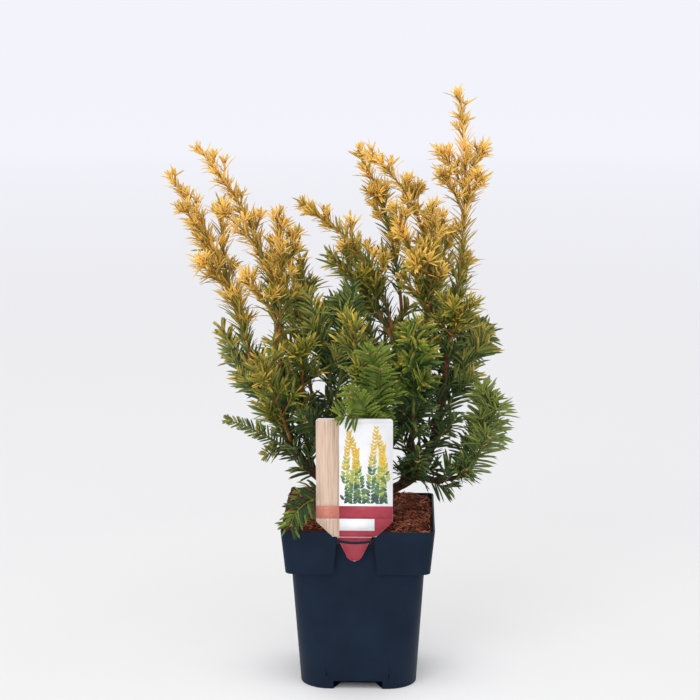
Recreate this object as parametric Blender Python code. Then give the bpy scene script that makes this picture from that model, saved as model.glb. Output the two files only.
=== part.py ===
"""A young golden yew in a square nursery pot, with its care label, in metres, +Z up.

The origin is under the middle of the pot, on the surface it stands on, and the label faces -Y. The crown is a
tree of limbs that ends in masses of foliage. Every limb and every mass is worked out from one line of the tables
below: what it springs from, where its tip is and how far it bows. A mass is one stem with side twigs, set by a
seeded rule, and each band of a twig carries needles as slim spikes.
"""

import math
import random

import bpy
import numpy as np

CLEARANCE = 0.0003
UP = np.array((0.0, 0.0, 1.0))

# The pot: a square tub with a wide collar, half widths and heights
POT_HEIGHT = 0.1435
COLLAR_FOOT = 0.1055
RIM_HALF = 0.0650
COLLAR_FOOT_HALF = 0.0613
TUB_TOP_HALF = 0.0563
TUB_FOOT_HALF = 0.0499
RIM_CORNER = 0.0050
COLLAR_CORNER = 0.0065
TUB_TOP_CORNER = 0.0110
TUB_FOOT_CORNER = 0.0260
WALL = 0.0015
FLOOR_TOP = 0.0090
CORNER_STEPS = 4

# The label slot in the collar's front, the strap across it and the drain notches under the walls
SLOT_MIDDLE = -0.0020
SLOT_TOP_HALF = 0.0148
SLOT_FOOT_HALF = 0.0186
STRAP_HEIGHT = 0.0020
STRAP_DEPTH = 0.0011
STRAP_SAG = 0.0022
STRAP_LEVEL = 0.1370
STRAP_REACH = 0.0170
STRAP_FRONT = 0.0669
NOTCH_HALF = 0.0210
NOTCH_HEIGHT = 0.0070
PAD_HALF = 0.0345
DRAIN_RADIUS = 0.0035

# The label: a stiff card with a tab that hangs in the slot
LABEL_MIDDLE = -0.0026
LABEL_HALF = 0.0320
LABEL_TOP = 0.2413
LABEL_FRONT = 0.0659
LABEL_THICKNESS = 0.0006
LABEL_WAIST_HALF = 0.0180
TAB_HALF = 0.0130
TAB_SHOULDER = 0.1394
TAB_TIP = 0.1175
TAB_BEND = 0.0038

# The compost: a mound that is high at the back left and lower at the right
SOIL_MIDDLE = 0.1500
SOIL_PAD_SHARE = 0.26
SOIL_SHARES = (0.985, 0.86, 0.68, 0.47, SOIL_PAD_SHARE, 0.12)

# The trunk: a short stump with a root flare, from the flat cut on the compost to the fork
TRUNK_FOOT = np.array((0.0040, 0.0050, SOIL_MIDDLE + CLEARANCE))
TRUNK_TIP = np.array((0.0045, 0.0050, 0.1800))
TRUNK_RADII = ((0.0, 0.0125), (0.12, 0.0100), (0.35, 0.0084), (0.75, 0.0076), (1.0, 0.0060))
TRUNK_SIDES = 12
LIMB_SIDES = 6
LIMB_RINGS = 6

# Each limb: what it springs from, the share of that one's length, its tip, its bow, its foot and tip radius
LIMBS = {
    "bough_left": ("trunk", 0.45, (-0.062, -0.008, 0.214), (-0.014, -0.003, -0.022), 0.0042, 0.0030),
    "bough_right": ("trunk", 0.50, (0.066, 0.000, 0.220), (0.023, -0.002, -0.032), 0.0044, 0.0032),
    "bough_centre": ("trunk", 1.00, (0.042, 0.002, 0.232), (0.006, 0.000, -0.008), 0.0040, 0.0030),
    "bough_front": ("trunk", 0.55, (0.012, -0.034, 0.214), (0.002, -0.008, -0.010), 0.0034, 0.0024),
    "bough_middle": ("trunk", 0.95, (-0.024, 0.008, 0.240), (-0.008, 0.000, -0.004), 0.0034, 0.0024),
    "bough_back": ("trunk", 0.70, (0.020, 0.052, 0.236), (0.004, 0.012, -0.010), 0.0038, 0.0028),
    "bough_back_left": ("trunk", 0.60, (-0.040, 0.048, 0.226), (-0.008, 0.008, -0.012), 0.0034, 0.0026),
    "limb_left_tall": ("bough_left", 1.00, (-0.071, -0.003, 0.302), (0.002, 0.000, 0.002), 0.0029, 0.0020),
    "limb_left_outer": ("bough_left", 0.88, (-0.093, 0.008, 0.266), (-0.006, 0.004, -0.006), 0.0024, 0.0018),
    "limb_left_inner": ("bough_left", 0.55, (-0.052, 0.012, 0.250), (-0.004, 0.006, -0.004), 0.0024, 0.0018),
    "limb_right_tall": ("bough_right", 1.00, (0.077, 0.004, 0.302), (0.003, 0.000, 0.002), 0.0031, 0.0021),
    "limb_right_low": ("bough_right", 0.50, (0.093, -0.018, 0.183), (0.004, -0.004, -0.007), 0.0024, 0.0018),
    "limb_centre_tall": ("bough_centre", 1.00, (0.060, 0.004, 0.314), (0.004, 0.001, 0.000), 0.0029, 0.0020),
    "limb_centre_arch": ("bough_centre", 0.80, (0.028, 0.016, 0.298), (0.002, 0.008, 0.000), 0.0024, 0.0018),
    "limb_centre_fork": ("bough_back", 1.00, (0.036, 0.040, 0.312), (0.004, 0.004, 0.000), 0.0026, 0.0019),
    "limb_front_right": ("bough_right", 0.34, (0.046, -0.032, 0.236), (0.004, -0.012, -0.012), 0.0026, 0.0019),
    "limb_back_right": ("bough_back", 0.60, (0.062, 0.060, 0.266), (0.004, 0.008, -0.008), 0.0026, 0.0019),
}

# Each mass: its limb, the share along it, its stem's tip and bow, the count of side twigs, the longest twig, the
# needle's length, its tint, and any forks, each as the share along the stem and the fork's own tip
MASSES = {
    "left_tall": (
        "limb_left_tall", 1.0, (-0.136, 0.005, 0.457), (0.028, 0.004, 0.014), 7, 0.035, 0.017, "gold",
        ((0.42, (-0.117, -0.020, 0.409)),),
    ),
    "left_crest": (
        "limb_left_tall", 0.86, (-0.070, -0.015, 0.410), (0.006, -0.004, 0.006), 4, 0.034, 0.018, "gold",
        ((0.50, (-0.056, 0.008, 0.386)), (0.15, (-0.099, -0.020, 0.352))),
    ),
    "left_outer": (
        "limb_left_outer", 1.0, (-0.165, 0.030, 0.434), (0.020, 0.010, 0.004), 4, 0.030, 0.017, "gold",
        ((0.60, (-0.152, 0.008, 0.409)), (0.38, (-0.137, -0.002, 0.364))),
    ),
    "left_outer_back": (
        "limb_left_outer", 0.9, (-0.150, 0.048, 0.392), (0.014, 0.008, 0.004), 4, 0.032, 0.018, "gold",
        ((0.50, (-0.124, 0.058, 0.408)),),
    ),
    "left_spur": (
        "limb_left_outer", 0.5, (-0.122, 0.022, 0.305), (-0.004, 0.004, -0.004), 4, 0.024, 0.018, "green", (),
    ),
    "left_low": (
        "bough_left", 0.7, (-0.118, 0.002, 0.225), (0.000, 0.000, 0.010), 1, 0.014, 0.013, "green",
        ((0.22, (-0.084, -0.016, 0.196)),),
    ),
    "left_front": (
        "bough_left", 0.92, (-0.082, -0.050, 0.290), (0.004, -0.010, -0.006), 5, 0.034, 0.023, "olive", (),
    ),
    "left_inner": (
        "limb_left_inner", 1.0, (-0.050, 0.020, 0.362), (0.002, 0.000, 0.000), 6, 0.038, 0.022, "olive", (),
    ),
    "left_inner_front": (
        "limb_left_inner", 0.9, (-0.046, -0.026, 0.300), (0.002, -0.006, -0.004), 4, 0.032, 0.022, "olive", (),
    ),
    "left_label": (
        "bough_middle", 0.45, (-0.048, -0.044, 0.240), (-0.004, -0.008, -0.004), 3, 0.024, 0.018, "dark", (),
    ),
    "rim_spray": (
        "trunk", 0.34, (-0.0562, -0.086, 0.150), (-0.0245, -0.050, 0.0366), 1, 0.014, 0.022, "fresh", (),
    ),
    "middle_left": (
        "bough_middle", 1.0, (-0.045, -0.006, 0.338), (0.008, 0.000, 0.000), 5, 0.032, 0.022, "green", (),
    ),
    "middle_right": (
        "bough_middle", 0.88, (-0.008, -0.014, 0.345), (0.004, 0.000, 0.000), 5, 0.034, 0.023, "dark",
        ((0.55, (-0.024, 0.014, 0.326)),),
    ),
    "centre_arch": (
        "limb_centre_arch", 1.0, (-0.053, -0.005, 0.414), (0.029, 0.003, 0.019), 7, 0.034, 0.017, "gold", (),
    ),
    "centre_arch_low": (
        "limb_centre_arch", 0.88, (-0.026, 0.004, 0.368), (0.010, 0.000, 0.010), 5, 0.034, 0.022, "olive", (),
    ),
    "centre_fork": (
        "limb_centre_fork", 1.0, (-0.001, 0.034, 0.452), (0.012, 0.007, 0.014), 6, 0.033, 0.018, "gold",
        ((0.66, (0.012, 0.024, 0.418)),),
    ),
    "centre_tall": (
        "limb_centre_tall", 1.0, (0.007, -0.005, 0.454), (0.033, 0.005, 0.029), 6, 0.031, 0.017, "gold",
        ((0.62, (0.049, 0.012, 0.421)),),
    ),
    "centre_front": (
        "limb_centre_tall", 0.9, (0.027, -0.028, 0.416), (0.006, -0.002, 0.006), 5, 0.033, 0.018, "gold", (),
    ),
    "centre_gold": (
        "limb_centre_tall", 0.8, (0.061, -0.020, 0.418), (0.002, -0.008, 0.004), 6, 0.033, 0.018, "gold",
        ((0.45, (0.046, -0.038, 0.368)),),
    ),
    "right_tall": (
        "limb_right_tall", 1.0, (0.082, 0.010, 0.512), (0.019, 0.004, 0.008), 5, 0.024, 0.017, "gold",
        (
            (0.56, (0.069, 0.014, 0.456)),
            (0.60, (0.105, 0.022, 0.458)),
            (0.50, (0.103, -0.004, 0.437)),
            (0.47, (0.068, -0.012, 0.441)),
        ),
    ),
    "right_edge": (
        "limb_right_tall", 0.92, (0.088, 0.032, 0.366), (0.004, 0.004, 0.000), 5, 0.028, 0.019, "olive", (),
    ),
    "right_front": (
        "limb_right_tall", 0.84, (0.078, -0.030, 0.330), (0.004, -0.006, -0.004), 5, 0.034, 0.022, "olive",
        ((0.40, (0.094, -0.024, 0.334)),),
    ),
    "right_spur": (
        "bough_right", 0.97, (0.108, 0.020, 0.302), (0.002, 0.002, 0.000), 6, 0.034, 0.022, "green", (),
    ),
    "right_nub": (
        "bough_right", 0.88, (0.084, -0.028, 0.236), (0.000, -0.004, -0.004), 2, 0.016, 0.015, "dark", (),
    ),
    "right_inner": (
        "bough_centre", 0.62, (0.056, -0.042, 0.262), (0.004, -0.008, -0.006), 5, 0.034, 0.022, "dark", (),
    ),
    "label_side": (
        "bough_right", 0.42, (0.050, -0.056, 0.204), (0.004, -0.006, 0.004), 4, 0.026, 0.018, "dark", (),
    ),
    "right_low_up": (
        "limb_right_low", 1.0, (0.104, -0.016, 0.261), (0.019, -0.005, -0.002), 6, 0.034, 0.022, "fresh", (),
    ),
    "right_low_front": (
        "limb_right_low", 0.78, (0.086, -0.046, 0.191), (0.004, -0.004, 0.006), 3, 0.024, 0.018, "dark", (),
    ),
    "right_low_back": (
        "limb_right_low", 0.88, (0.108, 0.026, 0.222), (0.000, 0.004, 0.002), 3, 0.026, 0.020, "dark", (),
    ),
    "front_fan": (
        "bough_front", 1.0, (-0.010, -0.060, 0.327), (0.006, -0.010, 0.000), 6, 0.036, 0.023, "olive", (),
    ),
    "front_comb": (
        "bough_front", 0.86, (0.007, -0.074, 0.303), (0.018, -0.010, 0.006), 6, 0.034, 0.022, "fresh", (),
    ),
    "front_low": (
        "bough_front", 0.72, (-0.008, -0.080, 0.270), (0.016, -0.010, 0.014), 5, 0.030, 0.022, "fresh",
        ((0.55, (-0.018, -0.082, 0.247)),),
    ),
    "front_right": (
        "limb_front_right", 1.0, (0.045, -0.054, 0.320), (0.002, -0.010, 0.000), 7, 0.036, 0.023, "green", (),
    ),
    "back_left": (
        "bough_back_left", 1.0, (-0.078, 0.078, 0.362), (-0.002, 0.008, 0.000), 6, 0.038, 0.021, "olive", (),
    ),
    "back_left_low": (
        "bough_back_left", 0.88, (-0.098, 0.076, 0.262), (-0.004, 0.004, -0.008), 6, 0.036, 0.023, "dark", (),
    ),
    "back_middle": (
        "bough_back", 0.92, (-0.006, 0.098, 0.372), (-0.002, 0.012, 0.000), 5, 0.038, 0.021, "olive", (),
    ),
    "back_low": (
        "bough_back", 0.8, (0.004, 0.112, 0.268), (0.000, 0.006, -0.010), 6, 0.036, 0.023, "dark", (),
    ),
    "back_right": (
        "limb_back_right", 1.0, (0.070, 0.086, 0.396), (0.006, 0.008, 0.000), 7, 0.038, 0.020, "gold", (),
    ),
    "back_right_low": (
        "limb_back_right", 0.88, (0.112, 0.078, 0.292), (0.004, 0.004, -0.008), 6, 0.036, 0.023, "dark", (),
    ),
}

# These combs turn their upper side to the front
FRONT_COMBS = ("rim_spray", "front_comb", "front_low", "front_fan", "front_right")
FRONT_UPPER = np.array((0.10, -0.80, 0.60))

# How foliage grows along its twigs: in the sun needles stand all round a shoot, in the shade it is flat as a comb
SHADE_TINTS = ("fresh", "green", "dark")
SEED = 20
GOLDEN_ANGLE = math.radians(137.5)
BAND = 0.0078
STEM_RADIUS = 0.0014
TWIG_RADIUS = 0.0011
FIRST_TWIG_SHARE = 0.14
LAST_TWIG_SHARE = 0.86
TWIG_SPREAD = math.radians(42)
TWIG_LIFT = 0.50
STEM_LEAN = math.radians(50)
TWIG_LEAN = math.radians(44)
TWIST = math.radians(24)
NEEDLE_HALF_WIDTH = 0.0012
SPACE_GAP = 0.0008

TINTS = {
    "gold": (0.46, 0.30, 0.07),
    "olive": (0.17, 0.18, 0.035),
    "fresh": (0.12, 0.18, 0.035),
    "green": (0.09, 0.14, 0.025),
    "dark": (0.035, 0.065, 0.016),
}


# Scene and materials


def clear_scene():
    for thing in list(bpy.data.objects):
        bpy.data.objects.remove(thing, do_unlink=True)


def material(name, colour, roughness, metallic=0.0):
    made = bpy.data.materials.new(name)
    made.use_nodes = True
    shader = made.node_tree.nodes["Principled BSDF"]
    shader.inputs["Base Color"].default_value = (*colour, 1.0)
    shader.inputs["Roughness"].default_value = roughness
    shader.inputs["Metallic"].default_value = metallic
    made.diffuse_color = (*colour, 1.0)
    return made


def mesh_object(name, points, faces, finish=None):
    mesh = bpy.data.meshes.new(name)
    mesh.from_pydata([tuple(map(float, point)) for point in points], [], faces)
    if finish:
        mesh.materials.append(finish)
    made = bpy.data.objects.new(name, mesh)
    bpy.context.scene.collection.objects.link(made)
    return made


def shade(made, sharp_degrees=35):
    made.data.shade_smooth()
    made.data.set_sharp_from_angle(angle=math.radians(sharp_degrees))


def boolean(target, operation, cutters, solver="EXACT"):
    """Joins or cuts target by the cutters, applies the result and removes the cutters."""
    group = bpy.data.collections.new("cutters")
    bpy.context.scene.collection.children.link(group)
    for cutter in cutters:
        for holder in list(cutter.users_collection):
            holder.objects.unlink(cutter)
        group.objects.link(cutter)
        cutter.hide_render = True
        cutter.display_type = "WIRE"
    step = target.modifiers.new(operation.title(), "BOOLEAN")
    step.operation = operation
    step.solver = solver
    step.operand_type = "COLLECTION"
    step.collection = group
    graph = bpy.context.evaluated_depsgraph_get()
    graph.update()
    before = target.data
    target.data = bpy.data.meshes.new_from_object(target.evaluated_get(graph))
    target.modifiers.clear()
    target.data.name = target.name
    bpy.data.meshes.remove(before)
    for cutter in list(group.objects):
        bpy.data.objects.remove(cutter, do_unlink=True)
    bpy.data.collections.remove(group)


def keep_largest_body(made):
    """Drops loose scraps and fills sealed hollows: only the shell with the widest box stays."""
    mesh = made.data
    group = list(range(len(mesh.vertices)))

    def root(index):
        while group[index] != index:
            group[index] = group[group[index]]
            index = group[index]
        return index

    for edge in mesh.edges:
        first, second = root(edge.vertices[0]), root(edge.vertices[1])
        group[first] = second
    owner = np.array([root(index) for index in range(len(group))])
    points = np.array([vertex.co[:] for vertex in mesh.vertices])
    shells = np.unique(owner)
    if len(shells) == 1:
        return
    widest = max(shells, key=lambda shell: np.ptp(points[owner == shell], axis=0).sum())
    kept = np.flatnonzero(owner == widest)
    place = {old: new for new, old in enumerate(kept)}
    faces = [[place[v] for v in face.vertices] for face in mesh.polygons if face.vertices[0] in place]
    finish = mesh.materials[0] if mesh.materials else None
    fresh = bpy.data.meshes.new(made.name)
    fresh.from_pydata([tuple(point) for point in points[kept]], [], faces)
    if finish:
        fresh.materials.append(finish)
    made.data = fresh
    bpy.data.meshes.remove(mesh)


# Pot, compost and label


def rounded_square(half, corner, height):
    """A ring of points round a square with rounded corners, anticlockwise from above."""
    ring = []
    for quarter in range(4):
        turn = quarter * math.pi / 2
        middle = (half - corner) * math.sqrt(2)
        centre_x = middle * math.cos(turn + math.pi / 4)
        centre_y = middle * math.sin(turn + math.pi / 4)
        for step in range(CORNER_STEPS + 1):
            angle = turn + step / CORNER_STEPS * math.pi / 2
            ring.append((centre_x + corner * math.cos(angle), centre_y + corner * math.sin(angle), height))
    return ring


def loft(name, rings, finish=None):
    """A closed solid through rings of equal count, from the lowest to the highest."""
    count = len(rings[0])
    faces = [list(range(count))[::-1], [(len(rings) - 1) * count + k for k in range(count)]]
    for row in range(len(rings) - 1):
        for k in range(count):
            near, far = row * count, (row + 1) * count
            following = (k + 1) % count
            faces.append([near + k, near + following, far + following, far + k])
    return mesh_object(name, [point for ring in rings for point in ring], faces, finish)


def box(name, low, high):
    corners = [(x, y, z) for z in (low[2], high[2]) for x, y in
               ((low[0], low[1]), (high[0], low[1]), (high[0], high[1]), (low[0], high[1]))]
    return loft(name, [corners[:4], corners[4:]])


def panel_front(height):
    """How far the wall behind the label slot lies from the axis: the tub's own slope carried up."""
    return TUB_FOOT_HALF + (TUB_TOP_HALF - TUB_FOOT_HALF) * height / COLLAR_FOOT


def slot_prism(name, grow, low, high):
    """The label slot as a solid, wider at its foot, from in front of the collar back to the panel."""
    rings = []
    for height in (low, high):
        share = (height - COLLAR_FOOT) / (POT_HEIGHT - COLLAR_FOOT)
        half = SLOT_FOOT_HALF + (SLOT_TOP_HALF - SLOT_FOOT_HALF) * share + grow
        back = -panel_front(height) + grow
        left, right = SLOT_MIDDLE - half, SLOT_MIDDLE + half
        rings.append([(left, -0.080, height), (right, -0.080, height), (right, back, height), (left, back, height)])
    return loft(name, rings)


def strap_solid():
    """The thin bridge across the slot: it stands in front of the tab, sags, and turns back into the flaps."""
    outer = STRAP_REACH
    stations = ((-outer, 0.0638), (-0.0155, 0.0655), (-0.0138, STRAP_FRONT), (0.0, STRAP_FRONT + 0.0003),
                (0.0138, STRAP_FRONT), (0.0155, 0.0655), (outer, 0.0638))
    rings = []
    for along_slot, front in stations:
        level = STRAP_LEVEL - STRAP_SAG * (1 - (along_slot / outer) ** 2)
        x, y, z = SLOT_MIDDLE + along_slot, STRAP_DEPTH / 2, STRAP_HEIGHT / 2
        rings.append([(x, -front - y, level - z), (x, -front + y, level - z),
                      (x, -front + y, level + z), (x, -front - y, level + z)])
    return loft("strap", rings)


def drain_cutters():
    """A pocket under the middle of each wall and a hole from it into the tub."""
    cutters = []
    for turn in range(4):
        pocket = box("pocket", (-NOTCH_HALF, -0.060, -0.010), (NOTCH_HALF, -PAD_HALF, NOTCH_HEIGHT))
        middle = -(PAD_HALF + TUB_FOOT_HALF - WALL) / 2
        ring = [(DRAIN_RADIUS * math.cos(a), middle + DRAIN_RADIUS * math.sin(a))
                for a in np.linspace(0, 2 * math.pi, 8, endpoint=False)]
        hole = loft("hole", [[(x, y, z) for x, y in ring] for z in (0.003, FLOOR_TOP + 0.003)])
        for cutter in (pocket, hole):
            cutter.rotation_euler[2] = turn * math.pi / 2
            cutters.append(cutter)
    return cutters


def make_pot():
    outside = [(0.0, TUB_FOOT_HALF, TUB_FOOT_CORNER),
               (COLLAR_FOOT, TUB_TOP_HALF, TUB_TOP_CORNER),
               (COLLAR_FOOT - 0.0002, COLLAR_FOOT_HALF, COLLAR_CORNER),
               (POT_HEIGHT, RIM_HALF, RIM_CORNER)]
    slope = (TUB_TOP_HALF - TUB_FOOT_HALF) / COLLAR_FOOT
    shelf = COLLAR_FOOT + 0.0016
    inside = [(FLOOR_TOP, TUB_FOOT_HALF + slope * FLOOR_TOP - WALL, TUB_FOOT_CORNER - WALL),
              (shelf, TUB_TOP_HALF - WALL, TUB_TOP_CORNER - WALL),
              (shelf + 0.0002, COLLAR_FOOT_HALF - WALL, COLLAR_CORNER - WALL),
              (POT_HEIGHT + 0.010, RIM_HALF - WALL + 0.001, RIM_CORNER - WALL)]
    pot = loft("pot", [rounded_square(half, corner, z) for z, half, corner in outside],
               material("pot plastic", (0.012, 0.020, 0.036), 0.42))
    cavity = loft("cavity", [rounded_square(half, corner, z) for z, half, corner in inside])
    boolean(cavity, "DIFFERENCE", [slot_prism("slot back", WALL + 0.0001, shelf - 0.004, 0.160)])
    boolean(pot, "DIFFERENCE", [cavity])
    boolean(pot, "DIFFERENCE", [slot_prism("slot", 0.0, COLLAR_FOOT - 0.0012, 0.150)])
    boolean(pot, "DIFFERENCE", drain_cutters())
    boolean(pot, "UNION", [strap_solid()])
    keep_largest_body(pot)
    shade(pot)
    return pot


def soil_height(x, y):
    """The mound's height: level under the trunk, up to the back left, down to the right, with small heaps."""
    reach = min(1.0, max(0.0, math.hypot(x, y) / 0.055 - 0.30))
    slope = -0.0030 * x / 0.06 - 0.0062 + 0.0005 * y / 0.06
    heaps = 0.0014 * math.sin(95 * x + 1.3) * math.cos(80 * y - 0.4)
    corner = 0.0016 * math.exp(-((x + 0.048) ** 2 + (y - 0.045) ** 2) / 0.0008)
    return SOIL_MIDDLE + reach * (slope + heaps) + corner


def make_soil():
    slope = (TUB_TOP_HALF - TUB_FOOT_HALF) / COLLAR_FOOT
    shelf = COLLAR_FOOT + 0.0016
    side = WALL + CLEARANCE
    low = FLOOR_TOP + CLEARANCE
    walls = [(low, TUB_FOOT_HALF + slope * FLOOR_TOP - side, TUB_FOOT_CORNER - side),
             (shelf, TUB_TOP_HALF - side, TUB_TOP_CORNER - side),
             (shelf + 0.0006, COLLAR_FOOT_HALF - side, COLLAR_CORNER - side)]
    rings = [rounded_square(half, corner, z) for z, half, corner in walls]
    for share in SOIL_SHARES:
        half = (RIM_HALF - side) * share
        flat = rounded_square(half, max(0.004, half * (0.1 + 0.8 * (1 - share))), 0.0)
        if share > 0.9:
            rings.append([(x, y, min(soil_height(x, y), POT_HEIGHT - 0.0012)) for x, y, _ in flat])
        elif share <= SOIL_PAD_SHARE:
            rings.append([(x, y, SOIL_MIDDLE) for x, y, _ in flat])
        else:
            rings.append([(x, y, soil_height(x, y)) for x, y, _ in flat])
    soil = loft("soil", rings, material("coir compost", (0.11, 0.035, 0.022), 0.95))
    boolean(soil, "DIFFERENCE", [slot_prism("slot gap", WALL + 0.0001 + CLEARANCE, shelf - 0.006, 0.170)])
    keep_largest_body(soil)
    return soil


def make_label():
    """Rows from the tab's tip to the card's top, each with its half width; the tab bends back into the slot."""
    waist_top = TAB_SHOULDER + 0.0135
    rows = ((TAB_TIP, 0.0028), (TAB_TIP + 0.0008, 0.0050), (TAB_TIP + 0.0028, 0.0066), (0.1362, TAB_HALF),
            (TAB_SHOULDER, TAB_HALF), (TAB_SHOULDER + 0.0004, LABEL_WAIST_HALF), (waist_top, LABEL_HALF),
            (LABEL_TOP - 0.0020, LABEL_HALF), (LABEL_TOP - 0.0006, LABEL_HALF - 0.0006),
            (LABEL_TOP, LABEL_HALF - 0.0020))
    rings = []
    for height, half in rows:
        bend = TAB_BEND * max(0.0, TAB_SHOULDER - height) / (TAB_SHOULDER - TAB_TIP)
        front = -LABEL_FRONT + bend
        back = front + LABEL_THICKNESS
        left, right = LABEL_MIDDLE - half, LABEL_MIDDLE + half
        rings.append([(left, front, height), (right, front, height), (right, back, height), (left, back, height)])
    return loft("label", rings, material("label card", (0.72, 0.66, 0.60), 0.35))


# Limbs


def bowed(foot, tip, bow, count):
    """Points on a curve from foot to tip whose control point lies off the middle by the bow."""
    foot, tip, bow = np.array(foot), np.array(tip), np.array(bow)
    control = (foot + tip) / 2 + bow
    share = np.linspace(0.0, 1.0, count)[:, None]
    return (1 - share) ** 2 * foot + 2 * share * (1 - share) * control + share**2 * tip


def along(path, share):
    """The point at this share of a path's points, and the direction there."""
    place = share * (len(path) - 1)
    row = min(int(place), len(path) - 2)
    step = path[row + 1] - path[row]
    return path[row] + step * (place - row), step / np.linalg.norm(step)


def unit(vector):
    return vector / max(1e-9, np.linalg.norm(vector))


def frames(path, first):
    """Tangent, normal and side at each point; the normal starts nearest to first and is carried along."""
    tangents = np.gradient(path, axis=0)
    tangents /= np.linalg.norm(tangents, axis=1)[:, None]
    normals = []
    normal = np.array(first, float)
    for tangent in tangents:
        normal = unit(normal - tangent * (normal @ tangent))
        normals.append(normal)
    normals = np.array(normals)
    return tangents, normals, np.cross(tangents, normals)


def square_to(direction):
    """A direction square to the given one, as level as can be."""
    side = np.cross(direction, UP)
    if np.linalg.norm(side) < 0.15:
        side = np.cross(direction, (0.0, 1.0, 0.0))
    return unit(side)


def tube(name, path, radii, sides, finish=None):
    tangents, normals, across = frames(path, square_to(path[1] - path[0]))
    rings = []
    for point, normal, side, radius in zip(path, normals, across, radii):
        angles = np.arange(sides) * 2 * math.pi / sides
        rings.append([point + radius * (math.cos(a) * normal + math.sin(a) * side) for a in angles])
    return loft(name, rings, finish)


class Limb:
    """A bare tapering limb: its middle line, its radius at each point and its object."""

    def __init__(self, name, path, radii, sides=LIMB_SIDES):
        self.name = name
        self.path = path
        self.radii = np.array(radii)
        self.sides = sides

    def cutter(self):
        """The same tube, 0.3 mm larger all round and at both ends."""
        path = self.path.copy()
        path[0] -= CLEARANCE * unit(path[1] - path[0])
        path[-1] += CLEARANCE * unit(path[-1] - path[-2])
        return tube("cutter", path, self.radii + CLEARANCE, self.sides)


def near(path, radius, limb):
    """Whether a tube of this radius comes within a millimetre of a limb."""
    gaps = [rod_gaps(start, end, limb.path[:-1], limb.path[1:]).min() for start, end in zip(path[:-1], path[1:])]
    return min(gaps) < radius + limb.radii.max() + 0.001


def make_limbs(bark):
    """The trunk, then every limb from its parent's middle line, cut 0.3 mm clear of what it springs from."""
    shares, radii = zip(*TRUNK_RADII)
    path = TRUNK_FOOT + (TRUNK_TIP - TRUNK_FOOT) * np.array(shares)[:, None]
    limbs = {"trunk": Limb("trunk", path, radii, TRUNK_SIDES)}
    shade(tube("trunk", path, radii, TRUNK_SIDES, bark), 50)
    for name, (parent, share, tip, bow, foot_radius, tip_radius) in LIMBS.items():
        foot, _ = along(limbs[parent].path, share)
        limb = Limb(name, bowed(foot, tip, bow, LIMB_RINGS), np.linspace(foot_radius, tip_radius, LIMB_RINGS))
        made = tube(name, limb.path, limb.radii, LIMB_SIDES, bark)
        for other in limbs.values():
            if near(limb.path, limb.radii.max(), other):
                boolean(made, "DIFFERENCE", [other.cutter()])
        keep_largest_body(made)
        shade(made, 50)
        limbs[name] = limb
    return limbs


# Foliage


class Space:
    """The places already taken, as rods with a radius and an owner."""

    def __init__(self):
        self.starts, self.ends = np.empty((0, 3)), np.empty((0, 3))
        self.radii, self.owners = np.empty(0), np.empty(0, int)

    def add(self, starts, ends, radii, owner):
        self.starts = np.vstack([self.starts, starts])
        self.ends = np.vstack([self.ends, ends])
        self.radii = np.concatenate([self.radii, radii])
        self.owners = np.concatenate([self.owners, np.full(len(starts), owner)])

    def clear(self, start, end, radius, owner):
        """Whether a rod stays clear of everything that belongs to another owner."""
        others = self.owners != owner
        if not others.any():
            return True
        gaps = rod_gaps(start, end, self.starts[others], self.ends[others])
        return bool((gaps > radius + self.radii[others] + SPACE_GAP).all())


def rod_gaps(start, end, starts, ends):
    """The distance between one rod's middle line and each of many."""
    own, theirs, apart = end - start, ends - starts, start - starts
    a = max(own @ own, 1e-12)
    e = np.maximum((theirs * theirs).sum(axis=1), 1e-12)
    f = (theirs * apart).sum(axis=1)
    c = apart @ own
    b = theirs @ own
    spread = a * e - b * b
    s = np.where(spread > 1e-14, np.clip((b * f - c * e) / np.maximum(spread, 1e-14), 0, 1), 0.0)
    t = np.clip((b * s + f) / e, 0, 1)
    s = np.clip((b * t - c) / a, 0, 1)
    nearest = start + s[:, None] * own - (starts + t[:, None] * theirs)
    return np.linalg.norm(nearest, axis=1)


def outside_pot(start, end):
    """Whether a rod is clear of the pot, the compost and the label all along it."""
    return all(point_outside_pot(*(start + (end - start) * share)) for share in (0.2, 0.4, 0.6, 0.8, 1.0))


def point_outside_pot(x, y, z):
    if abs(x - LABEL_MIDDLE) < LABEL_HALF + 0.002 and abs(y + LABEL_FRONT) < 0.0030 and z < LABEL_TOP + 0.002:
        return False
    if max(abs(x), abs(y)) > RIM_HALF + 0.002:
        return z > 0.120
    if max(abs(x), abs(y)) > RIM_HALF - 0.006:
        return z > POT_HEIGHT + 0.0025
    return z > soil_height(x, y) + 0.0025


def needle_reach(length, share):
    """Needles are short at a twig's foot, longest at a third of it, and short again at its growing tip."""
    return length * (0.62 + 0.38 * math.sin(math.pi * min(1.0, 0.12 + 0.55 * share + 0.45 * share**3)))


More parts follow.
